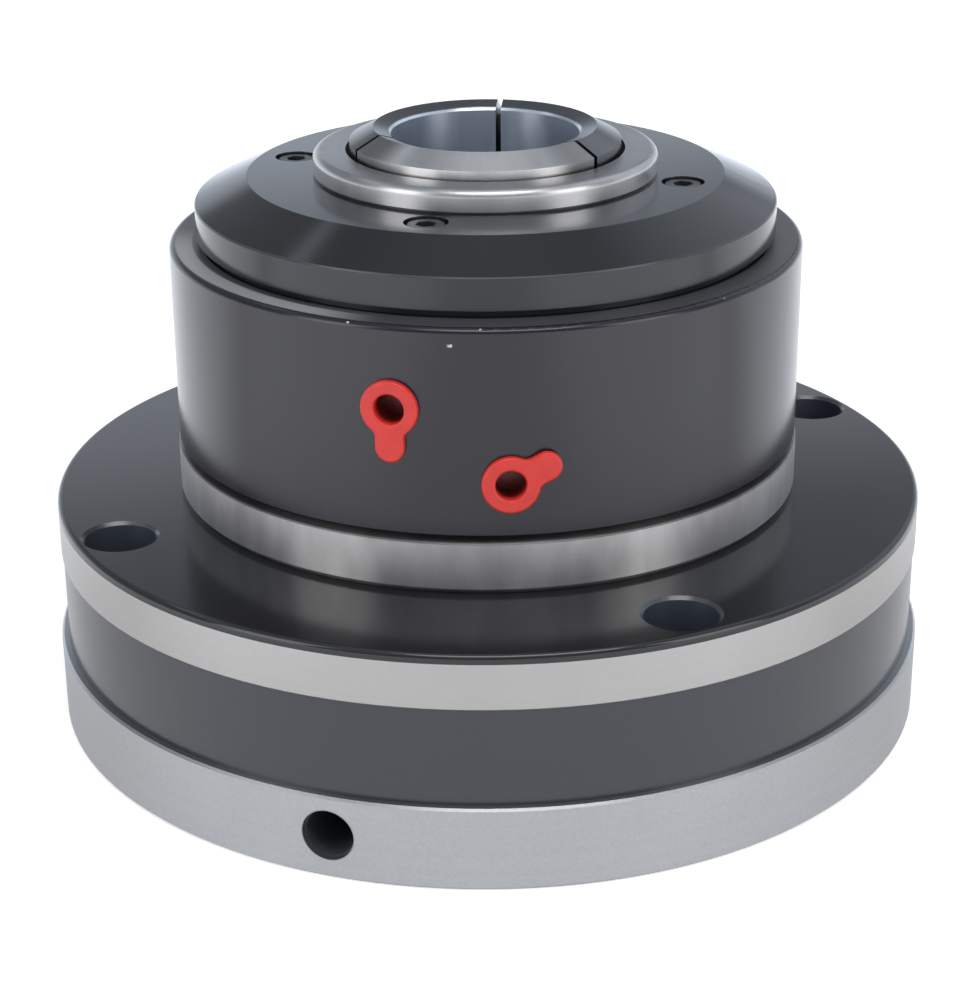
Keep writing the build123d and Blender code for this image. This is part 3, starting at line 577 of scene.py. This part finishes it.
@dataclass
class BackPlate:
    """The turned plate that carries the chuck, with its screws and seals."""

    radius: float = 101.4
    spanner_radius: float = 5.75
    spanner_end: float = 60.0
    mouth_depth: float = 0.35

    def build(self) -> None:
        """Dress the plate, its screws and its seals."""
        mouth_foot = self.radius - self.mouth_depth
        # Painted shade: the spanner hole's walls below its mouth are painted near black.
        deep = Window(0.0, self.spanner_radius, self.spanner_end, mouth_foot, about=About.SPANNER_HOLE)
        mouth = Window(
            inner=0.0,
            outer=self.spanner_radius + 0.15,
            foot=mouth_foot,
            top=self.radius + 0.5,
            about=About.SPANNER_HOLE,
        )
        plate = Turned(
            "plate_satin_steel",
            Zone((0.424, 0.427, 0.434), 0.38, 1.0),
            zones=(
                (deep, Zone((0.06, 0.066, 0.076), 0.5, 0.3)),
                (mouth, Zone((0.3, 0.31, 0.33), 0.35, 1.0)),
            ),
            anisotropy=0.35,
            mark_pitch=0.3,
            mark_contrast=0.03,
            streaks=0.03,
            grain=0.12,
            mark_depth=0.0006,
        )
        dress("back_plate", plate.material())
        screws = Turned("screw_black_steel", Zone((0.045, 0.044, 0.045), 0.38, 0.6))
        dress("housing_screws", screws.material())
        rubber = Moulded("seal_rubber", (0.02, 0.02, 0.021), 0.5).material()
        for node in ("plate_seal", "hub_seal", "rod_seal", "piston_seal"):
            dress(node, rubber)


@dataclass
class SpindleBody:
    """The flange and nose: black on top, a ground rim, and a dark waist below it."""

    waist_top: float = 40.7
    band_top: float = 50.8
    rim_radius: float = 100.0
    waist_radius: float = 99.65
    waist_foot: float = 18.0
    flange_top: float = 52.8
    lip_round: float = 1.2
    hole_radius: float = 7.9
    hole_edge: float = 0.7
    hole_top: float = 52.05
    chamber_radius: float = 76.2
    chamber_top: float = 44.8
    nose_radius: float = 53.5
    nose_foot: float = 40.8
    nose_top: float = 120.0

    def finish(self) -> Turned:
        """Return the finish of the flange and nose."""
        past_rim = self.rim_radius + 1.0
        rim = Window(self.rim_radius - 0.5, past_rim, self.waist_top - 0.1, self.band_top)
        below = Window(self.waist_radius - 0.2, past_rim, self.waist_foot, self.waist_top - 0.1)
        chamber = Window(0.0, self.chamber_radius, 0.0, self.chamber_top)
        nose = Window(0.0, self.nose_radius, self.nose_foot, self.nose_top)
        # Painted light: the bolt holes' walls get a lighter matt colour than the black flange.
        inside = Window(0.0, self.hole_radius + 0.1, 0.0, self.hole_top, about=About.BOLT_HOLES)
        # Painted highlight: the chamfers round the bolt holes are painted a lighter, part-metal grey.
        chamfer_highlight = Window(
            inner=self.hole_radius - 0.1,
            outer=self.hole_radius + self.hole_edge,
            foot=self.hole_top - 0.03,
            top=self.flange_top + 0.2,
            about=About.BOLT_HOLES,
        )
        worked = Zone((0.42, 0.42, 0.43), 0.32, 1.0)
        return Turned(
            "flange_black_gloss",
            Zone((0.016, 0.0165, 0.019), 0.16, 0.0),
            zones=(
                (rim, Zone(STEEL, 0.3, 1.0)),
                (below, Zone((0.024, 0.028, 0.037), 0.24, 0.0, 0.25)),
                (chamber, worked),
                (nose, worked),
                (inside, Zone(HOLE_PAINTED_LIGHT, 0.5, 0.0)),
                (chamfer_highlight, Zone((0.1, 0.105, 0.118), 0.32, 0.6)),
            ),
            ior=BLACK_INDEX,
            anisotropy=0.5,
            mark_pitch=0.22,
            mark_contrast=0.03,
            streaks=0.03,
            grain=0.05,
            dust=0.02,
            mark_depth=0.0003,
            rounds=(Round(self.rim_radius - self.lip_round, self.flange_top - self.lip_round),),
        )

    def build(self) -> None:
        """Dress the spindle body and the small pieces in it."""
        dress("spindle_body", self.finish().material())
        dress("passage_plugs", Turned("plug_bright_steel", Zone(HARD_STEEL, 0.3, 1.0)).material())
        dress("guide_screw", Turned("grub_black_steel", Zone((0.05, 0.05, 0.05), 0.4, 0.6)).material())


@dataclass
class GuardRing:
    """The bright ground ring round the foot of the air ring."""

    radius: float = 71.45
    top: float = 64.3

    def build(self) -> None:
        """Dress the guard ring."""
        # Painted shade: the top edge is painted a darker grey to dim the overhead lamp's highlight on it.
        edge = Window(self.radius - 0.4, self.radius + 0.2, self.top - 0.32, self.top + 0.2)
        steel = Turned(
            "guard_ground_steel",
            Zone((0.53, 0.508, 0.5), 0.36, 1.0),
            zones=((edge, Zone((0.2, 0.2, 0.2), 0.5, 1.0)),),
            anisotropy=0.8,
            mark_pitch=0.2,
            mark_contrast=0.04,
            streaks=0.22,
            streak_rate=16.0,
            grain=0.06,
            mark_depth=0.0004,
        )
        dress("guard_ring", steel.material())


@dataclass
class AirRing:
    """The black ring that stands still and takes the air, and what runs inside it."""

    radius: float = 71.15
    top: float = 110.6
    edge_round: float = 1.3
    ledge_inner: float = 62.0
    lit_ledge_inner: float = 66.0
    nicks: tuple[Spot, ...] = (
        Spot(-95.9, 71.15, 107.05, 1.2),
        Spot(-113.2, 70.8, 110.3, 0.7),
        Spot(-91.0, 70.7, 110.4, 0.7),
        Spot(-46.0, 70.8, 110.3, 0.6),
    )

    def build(self) -> None:
        """Dress the ring, seals, sleeve and bearings."""
        outer = self.radius - self.edge_round
        ledge = Window(self.ledge_inner, outer, self.top - 0.5, self.top + 0.5, soft=0.2)
        # Painted light: the ledge's left sector is painted a lighter grey, as if a lamp on the left fell on
        # it.
        lit_ledge = Window(self.lit_ledge_inner, outer, self.top - 0.5, self.top + 0.5, soft=0.3)
        left_painted_light = Sector(lit_ledge, azimuth=-146.0, half=30.0, soft=8.0)
        wall = Turned(
            "ring_black_anodised",
            Zone((0.01, 0.0085, 0.0145), 0.22, 0.0),
            zones=(
                (ledge, Zone((0.058, 0.06, 0.066), 0.4, 0.0)),
                (left_painted_light, Zone((0.3, 0.31, 0.335), 0.45, 0.0)),
            ),
            ior=BLACK_INDEX,
            anisotropy=0.3,
            mark_pitch=0.25,
            mark_contrast=0.015,
            streaks=0.02,
            grain=0.06,
            dust=0.02,
            mark_depth=0.0001,
            rounds=(Round(outer, self.top - self.edge_round),),
            spots=self.nicks,
        )
        dress("air_ring", wall.material())
        seal = Moulded("seal_bronze_plastic", (0.16, 0.09, 0.05), 0.42).material()
        for node in ("rotary_seal_lower", "rotary_seal_middle", "rotary_seal_upper", "piston_guide_ring"):
            dress(node, seal)
        hard = Turned("sleeve_hardened_steel", Zone(HARD_STEEL, 0.16, 1.0), anisotropy=0.4).material()
        dress("running_sleeve", hard)
        race = Turned("race_polished_steel", Zone((0.6, 0.6, 0.61), 0.12, 1.0)).material()
        cage = Moulded("cage_tan_plastic", (0.62, 0.5, 0.32), 0.4).material()
        for side in ("lower", "upper"):
            for piece in ("inner_race", "outer_race", "balls"):
                dress(f"{side}_{piece}", race)
            dress(f"{side}_cage", cage)


@dataclass
class FrontCap:
    """The black cap with its polished flat, and the four screws sunk in it."""

    flat_inner: float = 37.0
    flat_radius: float = 53.3
    top: float = 124.75
    rim_radius: float = 65.1
    rim_top: float = 119.25

    def build(self) -> None:
        """Dress the cap and its screws."""
        flat = Window(self.flat_inner, self.flat_radius - 0.1, self.top - 0.3, self.top + 0.5)
        edge = Window(
            inner=self.rim_radius - 0.3,
            outer=self.rim_radius + 0.2,
            foot=self.rim_top - 0.2,
            top=self.rim_top + 0.15,
            soft=0.1,
        )
        cap = Turned(
            "cap_black_polish",
            Zone(BLACK, 0.16, 0.0),
            zones=(
                (flat, Zone((0.195, 0.199, 0.209), 0.15, 1.0)),
                (edge, Zone((0.07, 0.072, 0.078), 0.3, 0.3)),
            ),
            ior=BLACK_INDEX,
            anisotropy=0.5,
            mark_pitch=0.2,
            mark_contrast=0.03,
            streaks=0.03,
            grain=0.04,
            dust=0.015,
            mark_depth=0.0003,
        )
        dress("front_cap", cap.material())
        screws = Turned("cap_screw_steel", Zone((0.1, 0.1, 0.105), 0.34, 0.8), grain=0.12)
        dress("cap_screws", screws.material())


@dataclass
class ColletHead:
    """The nut, the slit collet and the sleeve that closes it."""

    nut_top: float = 129.95
    nut_inner: float = 31.2
    nut_round: float = 36.8
    nut_edge: float = 1.7
    neck_top: float = 131.95
    crown_outer: float = 40.0
    crown_depth: float = 4.0
    crown_height: float = 9.0
    bore_radius: float = 21.7
    bore_foot: float = 60.0
    bore_top: float = 150.0
    jaw_azimuth: float = -98.3
    jaw_half: float = 59.6

    def build(self) -> None:
        """Dress the nut, collet, closer and piston."""
        # Painted shade: the nut's top face is painted a darker steel than its side.
        face = Window(self.nut_inner - 0.5, self.nut_round, self.nut_top - 0.1, self.nut_top + 0.5, soft=0.2)
        nut = Turned(
            "nut_turned_steel",
            Zone((0.56, 0.55, 0.54), 0.33, 1.0),
            zones=((face, Zone((0.43, 0.43, 0.435), 0.32, 1.0)),),
            anisotropy=0.55,
            mark_pitch=0.45,
            mark_contrast=0.08,
            streaks=0.1,
            grain=0.04,
            mark_depth=0.0005,
            rounds=(Round(self.nut_round, self.nut_top - self.nut_edge),),
        )
        dress("collet_nut", nut.material())
        crown = Window(
            inner=self.bore_radius + 0.2,
            outer=self.crown_outer,
            foot=self.neck_top - self.crown_depth,
            top=self.neck_top + self.crown_height,
            soft=0.1,
        )
        # Painted highlight: the crown of the front jaw is painted lighter than the rest of the collet,
        # lightest in its middle.
        jaw_highlight = Sector(crown, self.jaw_azimuth, self.jaw_half)
        jaw_highlight_core = Sector(crown, self.jaw_azimuth, half=37.0, soft=13.0)
        bore = Window(0.0, self.bore_radius - 0.2, self.bore_foot, self.bore_top)
        collet = Turned(
            "collet_ground_steel",
            Zone((0.18, 0.183, 0.19), 0.28, 1.0),
            zones=(
                (jaw_highlight, Zone((0.32, 0.31, 0.3), 0.28, 1.0)),
                (jaw_highlight_core, Zone((0.66, 0.645, 0.635), 0.28, 1.0)),
                (bore, Zone((0.78, 0.83, 0.91), 0.3, 1.0)),
            ),
            anisotropy=0.6,
            mark_pitch=0.3,
            mark_contrast=0.04,
            streaks=0.07,
            streak_rate=12.0,
            grain=0.02,
            mark_depth=0.0001,
        )
        dress("collet", collet.material())
        closer = Turned("closer_ground_steel", Zone(HARD_STEEL, 0.22, 1.0), anisotropy=0.5)
        dress("closer_sleeve", closer.material())
        piston = Turned("piston_turned_steel", Zone((0.5, 0.51, 0.52), 0.34, 1.0), anisotropy=0.5)
        dress("piston", piston.material())


@dataclass
class PortPlug:
    """A moulded pull-tab plug with soft edges, in millimetres on its own face."""

    name: str
    node: str
    body: Body
    azimuth: float
    height: float
    tab_angle: float
    foot: float = 71.17
    disc_radius: float = 6.1
    thickness: float = 1.4
    tab_half: float = 3.1
    tab_reach: float = 11.5
    tab_fillet: float = 2.0
    border: float = 0.75
    edge_round: float = 0.5
    recess_radius: float = 3.2
    recess_depth: float = 6.5
    stem_radius: float = 4.35
    stem_length: float = 8.0
    disc_steps: int = 32
    fillet_steps: int = 8
    tab_steps: int = 10
    circle_steps: int = 48
    bevel_steps: int = 4
    merge_distance: float = 0.001
    sharp_angle: float = 40.0

    def _outline(self, sheet: bmesh.types.BMesh) -> list[bmesh.types.BMEdge]:
        """Draw the outline of the disc and its tab.

        Args:
            sheet: the mesh that the outline goes into.

        Returns:
            The edges of the closed outline.
        """
        tab_end = self.tab_reach - self.tab_half
        reach, drop = self.disc_radius + self.tab_fillet, self.tab_half + self.tab_fillet
        corner = (math.sqrt(reach**2 - drop**2), drop, 0.0)
        lean = math.asin(drop / reach)
        last = sheet.verts.new((-self.disc_radius, 0.0, 0.0))
        last = self._arc(sheet, last, Vector(), lean - math.pi, self.disc_steps)
        last = self._arc(sheet, last, Vector(corner), math.pi / 2 - lean, self.fillet_steps)
        straight = bmesh.ops.extrude_vert_indiv(sheet, verts=[last])
        last = straight["verts"][0]
        last.co.x = tab_end
        self._arc(sheet, last, Vector((tab_end, 0.0, 0.0)), -math.pi / 2, self.tab_steps)
        half = sheet.verts[:] + sheet.edges[:]
        bmesh.ops.mirror(sheet, geom=half, axis="Y", merge_dist=self.merge_distance)
        bmesh.ops.remove_doubles(sheet, verts=sheet.verts[:], dist=self.merge_distance)
        return sheet.edges[:]

    def _arc(
        self, sheet: bmesh.types.BMesh, start: bmesh.types.BMVert, centre: Vector, angle: float, steps: int
    ) -> bmesh.types.BMVert:
        """Draw an arc from a point.

        Args:
            sheet: the mesh that the arc goes into.
            start: the point that it starts from.
            centre: its centre.
            angle: how far it turns.
            steps: how many edges it has.

        Returns:
            The point at its end.
        """
        swept = bmesh.ops.spin(
            sheet, geom=[start], cent=centre, axis=(0.0, 0.0, 1.0), angle=angle, steps=steps, use_merge=False
        )
        return next(item for item in swept["geom_last"] if isinstance(item, bmesh.types.BMVert))

    def _grow(
        self, sheet: bmesh.types.BMesh, edges: list[bmesh.types.BMEdge], move: Matrix
    ) -> list[bmesh.types.BMEdge]:
        """Draw a wall from a loop of edges.

        Args:
            sheet: the mesh.
            edges: the loop.
            move: what takes the loop to the wall's other side.

        Returns:
            The loop at the other side.
        """
        made = bmesh.ops.extrude_edge_only(sheet, edges=edges)["geom"]
        bmesh.ops.transform(sheet, matrix=move, verts=[v for v in made if isinstance(v, bmesh.types.BMVert)])
        return [edge for edge in made if isinstance(edge, bmesh.types.BMEdge)]

    def _circle(self, sheet: bmesh.types.BMesh, radius: float, level: float) -> list[bmesh.types.BMEdge]:
        """Draw a circle about the plug's axis and return its edges."""
        place = Matrix.Translation((0.0, 0.0, level))
        made = bmesh.ops.create_circle(
            sheet, segments=self.circle_steps, radius=radius, matrix=place
        )["verts"]
        return list({edge for vert in made for edge in vert.link_edges})

    def _mesh(self) -> bpy.types.Mesh:
        """Return the plug's mesh in place on the chuck."""
        sheet = bmesh.new()
        foot = self._outline(sheet)
        shoulder = self._grow(sheet, foot, Matrix.Translation((0.0, 0.0, self.thickness)))
        top = bmesh.ops.contextual_create(sheet, geom=shoulder)["faces"]
        bmesh.ops.recalc_face_normals(sheet, faces=sheet.faces[:])
        bmesh.ops.inset_region(sheet, faces=top, thickness=self.border, use_even_offset=True)
        inner = list(top[0].edges)
        bmesh.ops.delete(sheet, geom=top, context="FACES_ONLY")
        ring = self._circle(sheet, self.recess_radius + self.border, self.thickness)
        bmesh.ops.triangle_fill(sheet, use_beauty=True, edges=inner + ring)
        shrink = self.recess_radius / (self.recess_radius + self.border)
        mouth = self._grow(sheet, ring, Matrix.Diagonal((shrink, shrink, 1.0, 1.0)))
        well = self._grow(sheet, mouth, Matrix.Translation((0.0, 0.0, -self.recess_depth)))
        bmesh.ops.contextual_create(sheet, geom=well)
        stem = self._circle(sheet, self.stem_radius, 0.0)
        bmesh.ops.triangle_fill(sheet, use_beauty=True, edges=foot + stem)
        tip = self._grow(sheet, stem, Matrix.Translation((0.0, 0.0, -self.stem_length)))
        bmesh.ops.contextual_create(sheet, geom=tip)
        bmesh.ops.recalc_face_normals(sheet, faces=sheet.faces[:])
        bmesh.ops.bevel(
            sheet,
            geom=shoulder + mouth,
            offset=self.edge_round,
            segments=self.bevel_steps,
            profile=0.5,
            affect="EDGES",
            material=-1,
            clamp_overlap=True,
        )
        bmesh.ops.transform(sheet, matrix=self._stand(), verts=sheet.verts[:])
        for face in sheet.faces:
            face.smooth = True
        mesh = bpy.data.meshes.new(self.name)
        sheet.to_mesh(mesh)
        sheet.free()
        mesh.set_sharp_from_angle(angle=math.radians(self.sharp_angle))
        return mesh

    def _stand(self) -> Matrix:
        """Return what takes the plug from its own face to its place on the chuck."""
        angle, twist = math.radians(self.azimuth), math.radians(self.tab_angle)
        outward = Vector((math.cos(angle), math.sin(angle), 0.0))
        along = Vector((-math.sin(angle), math.cos(angle), 0.0))
        tab = along * math.cos(twist) + Vector((0.0, 0.0, math.sin(twist)))
        turned = Matrix((tab, outward.cross(tab), outward)).transposed().to_4x4()
        centre = outward * self.foot + Vector((0.0, 0.0, self.height))
        return Matrix.Scale(MM, 4) @ Matrix.Translation(centre) @ turned

    def build(self, red: bpy.types.Material) -> None:
        """Make the plug and let it stand for the CAD one."""
        mesh = self._mesh()
        mesh.materials.append(red)
        piece = bpy.data.objects.new(self.name, mesh)
        bpy.context.scene.collection.objects.link(piece)
        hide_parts(self.node)
        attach(piece, self.body.value)
        LOG.info("%s made, %d faces", self.name, len(mesh.polygons))


@dataclass
class PortPlugs:
    """The two red pull-tab plugs in the air ports."""

    lower_height: float = 77.4
    upper_height: float = 93.1
    finish: Moulded = Moulded(
        name="plug_red_plastic",
        color=(0.76, 0.042, 0.034),
        roughness=0.32,
        shade=0.03,
        subsurface=0.1,
        texture=0.002,
        # Painted shade on the plugs' recesses and stems, within this reach of the spindle axis.
        painted_shade_within=72.0,
    )

    def build(self) -> None:
        """Make both plugs in one red plastic."""
        red = self.finish.material()
        dress("port_plug_lower", red)
        dress("port_plug_upper", red)
        lower = PortPlug(
            name="pull_tab_plug_lower",
            node="port_plug_lower",
            body=Body.LOWER_PLUG,
            azimuth=-86.2,
            height=self.lower_height,
            tab_angle=28.0,
        )
        upper = PortPlug(
            name="pull_tab_plug_upper",
            node="port_plug_upper",
            body=Body.UPPER_PLUG,
            azimuth=-106.0,
            height=self.upper_height,
            tab_angle=-90.0,
        )
        for plug in (lower, upper):
            plug.build(red)


@dataclass
class Softbox:
    """A rectangular lamp that faces a point on the spindle axis."""

    name: str
    place: tuple[float, float, float]
    width: float
    depth: float
    radiance: float
    aim_height: float = 0.08

    def build(self) -> None:
        """Make the lamp."""
        data = bpy.data.lights.new(self.name, "AREA")
        data.shape = "RECTANGLE"
        data.size, data.size_y = self.width, self.depth
        data.energy = self.radiance * math.pi * self.width * self.depth
        lamp = bpy.data.objects.new(self.name, data)
        lamp.location = self.place
        aim = Vector((0.0, 0.0, self.aim_height)) - Vector(self.place)
        lamp.rotation_euler = aim.to_track_quat("-Z", "Y").to_euler()
        bpy.context.scene.collection.objects.link(lamp)
        LOG.info("lamp %s", self.name)


@dataclass
class Studio:
    """A pale floor, a white surround, soft lamps and the camera, in metres.

    Polish mirrors a darker stage than the camera sees, so that its edges and bands show.
    Each Step says where, along one measure, a part of the stage turns brighter or darker.
    """

    floor_size: float = 8.0
    floor_color: Color = (0.8, 0.8, 0.8)
    floor_tint: Color = (0.92, 0.98, 1.09)
    floor_glow: Step = Step(0.45, 1.0, 0.5, 1.0)
    floor_sheen: float = 0.2
    behind_sheen: float = 0.6
    floor_beyond: Step = Step(0.15, 0.25)
    floor_behind: Step = Step(-0.06, 0.08)
    floor_aside: Step = Step(0.08, 0.2)
    floor_flank: Step = Step(0.19, 0.29)
    flank_sheen: Step = Step(-0.06, 0.0, 0.45, 0.0)
    front_sheen: Step = Step(-0.12, -0.02, 0.2, 0.0)
    surround: float = 0.5
    shade: float = 0.3
    right_glow: float = 0.5
    board_place: float = 0.5
    board_width: float = 2.4
    board_height: float = 0.36
    board_slope: float = 0.1
    board_brow: Step = Step(0.2, 0.3, 1.0, shade)
    board_foot: Step = Step(0.02, 0.2, 1.5, 0.95)
    board_right: Step = Step(0.18, 0.3)
    board_top: Step = Step(0.2, 0.3)
    sky_tint: Color = (0.88, 0.96, 1.08)
    sky_behind: Step = Step(-0.2, 0.4)
    sky_foot: float = 0.02
    sky_dusk: float = 0.14
    sky_lift: float = 0.1
    sky_ceiling: Step = Step(0.8, 1.0, 0.0, 0.3)
    sky_right: Step = Step(0.2, 0.42, 0.0, right_glow)
    pane_foot: Step = Step(0.71, 0.73)
    pane_top: Step = Step(0.75, 0.77, 1.2, 0.0)
    pane_side: Step = Step(-0.36, -0.32, 1.0, 0.0)
    camera_back: float = 0.513235
    camera_height: float = 0.257325
    pitch: float = 0.3931
    roll: float = -0.0073
    lens: float = 84.424
    sensor: float = 36.0
    shift: float = -0.001328
    clip: tuple[float, float] = (0.01, 50.0)
    lamps: tuple[Softbox, ...] = (
        Softbox("softbox_above", (0.1, -0.55, 1.25), 0.9, 0.5, 4.0),
        Softbox("softbox_left", (-1.15, -0.75, 0.65), 0.65, 1.0, 2.3),
        Softbox("softbox_right", (1.15, -0.75, 0.65), 0.65, 1.0, 2.3),
    )

    def build(self) -> None:
        """Make the floor, surround, lamps and camera."""
        self._floor()
        self._board()
        self._world()
        for lamp in self.lamps:
            lamp.build()
        self._camera()

    def _rays(self, graph: Graph) -> tuple[Wire, Wire]:
        """Return 1 for rays from the camera or through glass, and 1 for mirrored rays."""
        path = graph.node("ShaderNodeLightPath", {}, {})
        kinds = ("Camera", "Glossy", "Transmission")
        direct, glossy, through = (graph.wire(path, f"Is {kind} Ray") for kind in kinds)
        return graph.maths("MAXIMUM", direct, through), glossy

    def _panel(self, name: str, place: Matrix) -> tuple[bpy.types.Object, Graph]:
        """Make a flat panel of the stage.

        Args:
            name: its name.
            place: what takes a square a metre wide to its place.

        Returns:
            The panel and the node tree of its material, which is still empty.
        """
        mesh = bpy.data.meshes.new(name)
        sheet = bmesh.new()
        bmesh.ops.create_grid(sheet, x_segments=1, y_segments=1, size=0.5, matrix=place)
        sheet.to_mesh(mesh)
        sheet.free()
        panel = bpy.data.objects.new(name, mesh)
        bpy.context.scene.collection.objects.link(panel)
        paint, graph = blank(f"{name}_white")
        mesh.materials.append(paint)
        return panel, graph

    def _floor(self) -> None:
        """Make the floor, which glows to white for the camera and keeps the shadow."""
        graph = self._panel("floor", Matrix.Scale(self.floor_size, 4))[1]
        seen, glossy = self._rays(graph)
        x, y, _ = graph.split(graph.point())
        radius = (x * x + y * y) ** 0.5
        behind = self.floor_beyond.of(radius) * self.floor_behind.of(y)
        aside = self.floor_aside.of(graph.maths("ABSOLUTE", x, 0.0))
        flank = self.floor_flank.of(radius) * aside * self.flank_sheen.of(y)
        sheen = behind * self.behind_sheen + self.front_sheen.of(y) + self.floor_sheen + flank
        glow = seen * self.floor_glow.of(radius) + glossy * sheen
        matt = graph.node("ShaderNodeBsdfDiffuse", {}, {"Color": (*self.floor_color, 1.0)})
        color = graph.mix(glossy, (1.0, 1.0, 1.0), self.floor_tint)
        light = graph.node("ShaderNodeEmission", {}, {"Color": color, "Strength": glow})
        graph.surface(graph.node("ShaderNodeAddShader", {}, {0: graph.wire(matt), 1: graph.wire(light)}))

    def _board(self) -> None:
        """Make the low white board that stands behind the chuck and shows in its polish."""
        size = Matrix.Diagonal((self.board_width, self.board_height, 1.0, 1.0))
        upright = Matrix.Rotation(math.pi / 2, 4, "X") @ size
        place = Matrix.Translation((0.0, self.board_place, self.board_height / 2)) @ upright
        board, graph = self._panel("back_board", place)
        board.visible_camera = False
        board.visible_shadow = False
        glossy = self._rays(graph)[1]
        side, _, height = graph.split(graph.point())
        mirrored = self.board_foot.of(height) * self.board_brow.of(height + side * self.board_slope)
        corner = self.board_right.of(side) * self.board_top.of(height)
        mirrored = mirrored + corner * self.right_glow
        strength = glossy * mirrored + (1.0 - glossy) * self.surround
        color = graph.mix(glossy, (1.0, 1.0, 1.0), self.sky_tint)
        graph.surface(graph.node("ShaderNodeEmission", {}, {"Color": color, "Strength": strength}))

    def _world(self) -> None:
        """Make the surround: white behind the chuck, and a dim ceiling where metal mirrors it."""
        world = bpy.data.worlds.new("surround")
        world.use_nodes = True
        graph = Graph(world.node_tree)
        side, depth, height = graph.split(graph.point("Generated"))
        behind = self.sky_behind.of(depth)
        dusk = behind * self.sky_lift + self.sky_dusk
        mirrored = graph.rise(height, self.sky_foot, dusk, 1.0, self.shade)
        mirrored = mirrored + self.sky_ceiling.of(height)
        mirrored = mirrored + self.sky_right.of(side) * behind
        pane = self.pane_foot.of(height) * self.pane_top.of(height)
        mirrored = mirrored + pane * self.pane_side.of(side)
        seen, glossy = self._rays(graph)
        strength = seen + glossy * mirrored + (1.0 - graph.maths("MAXIMUM", seen, glossy)) * self.surround
        color = graph.mix(glossy, (1.0, 1.0, 1.0), self.sky_tint)
        sky = graph.node("ShaderNodeBackground", {}, {"Color": color, "Strength": strength})
        graph.surface(sky, "ShaderNodeOutputWorld")
        bpy.context.scene.world = world

    def _camera(self) -> None:
        """Make the camera at the viewing angle of the photograph."""
        data = bpy.data.cameras.new("camera")
        data.lens = self.lens
        data.sensor_width = self.sensor
        data.shift_x = self.shift
        data.clip_start, data.clip_end = self.clip
        camera = bpy.data.objects.new("camera", data)
        up = Vector((0.0, math.sin(self.pitch), math.cos(self.pitch)))
        back = Vector((0.0, -math.cos(self.pitch), math.sin(self.pitch)))
        facing = Matrix((Vector((1.0, 0.0, 0.0)), up, back)).transposed()
        turn = facing @ Matrix.Rotation(self.roll, 3, "Z")
        camera.rotation_euler = turn.to_euler()
        camera.location = (0.0, -self.camera_back, self.camera_height)
        bpy.context.scene.collection.objects.link(camera)
        bpy.context.scene.camera = camera
        bpy.context.scene.view_settings.view_transform = "Standard"


def main() -> None:
    """Build and dress every sub-assembly."""
    logging.basicConfig(level=logging.INFO, format="%(message)s")
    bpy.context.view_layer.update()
    for part in (BackPlate(), SpindleBody(), GuardRing(), AirRing(), FrontCap(), ColletHead(), PortPlugs()):
        part.build()
    Studio().build()
    bpy.context.view_layer.update()


if __name__ == "__main__":
    main()
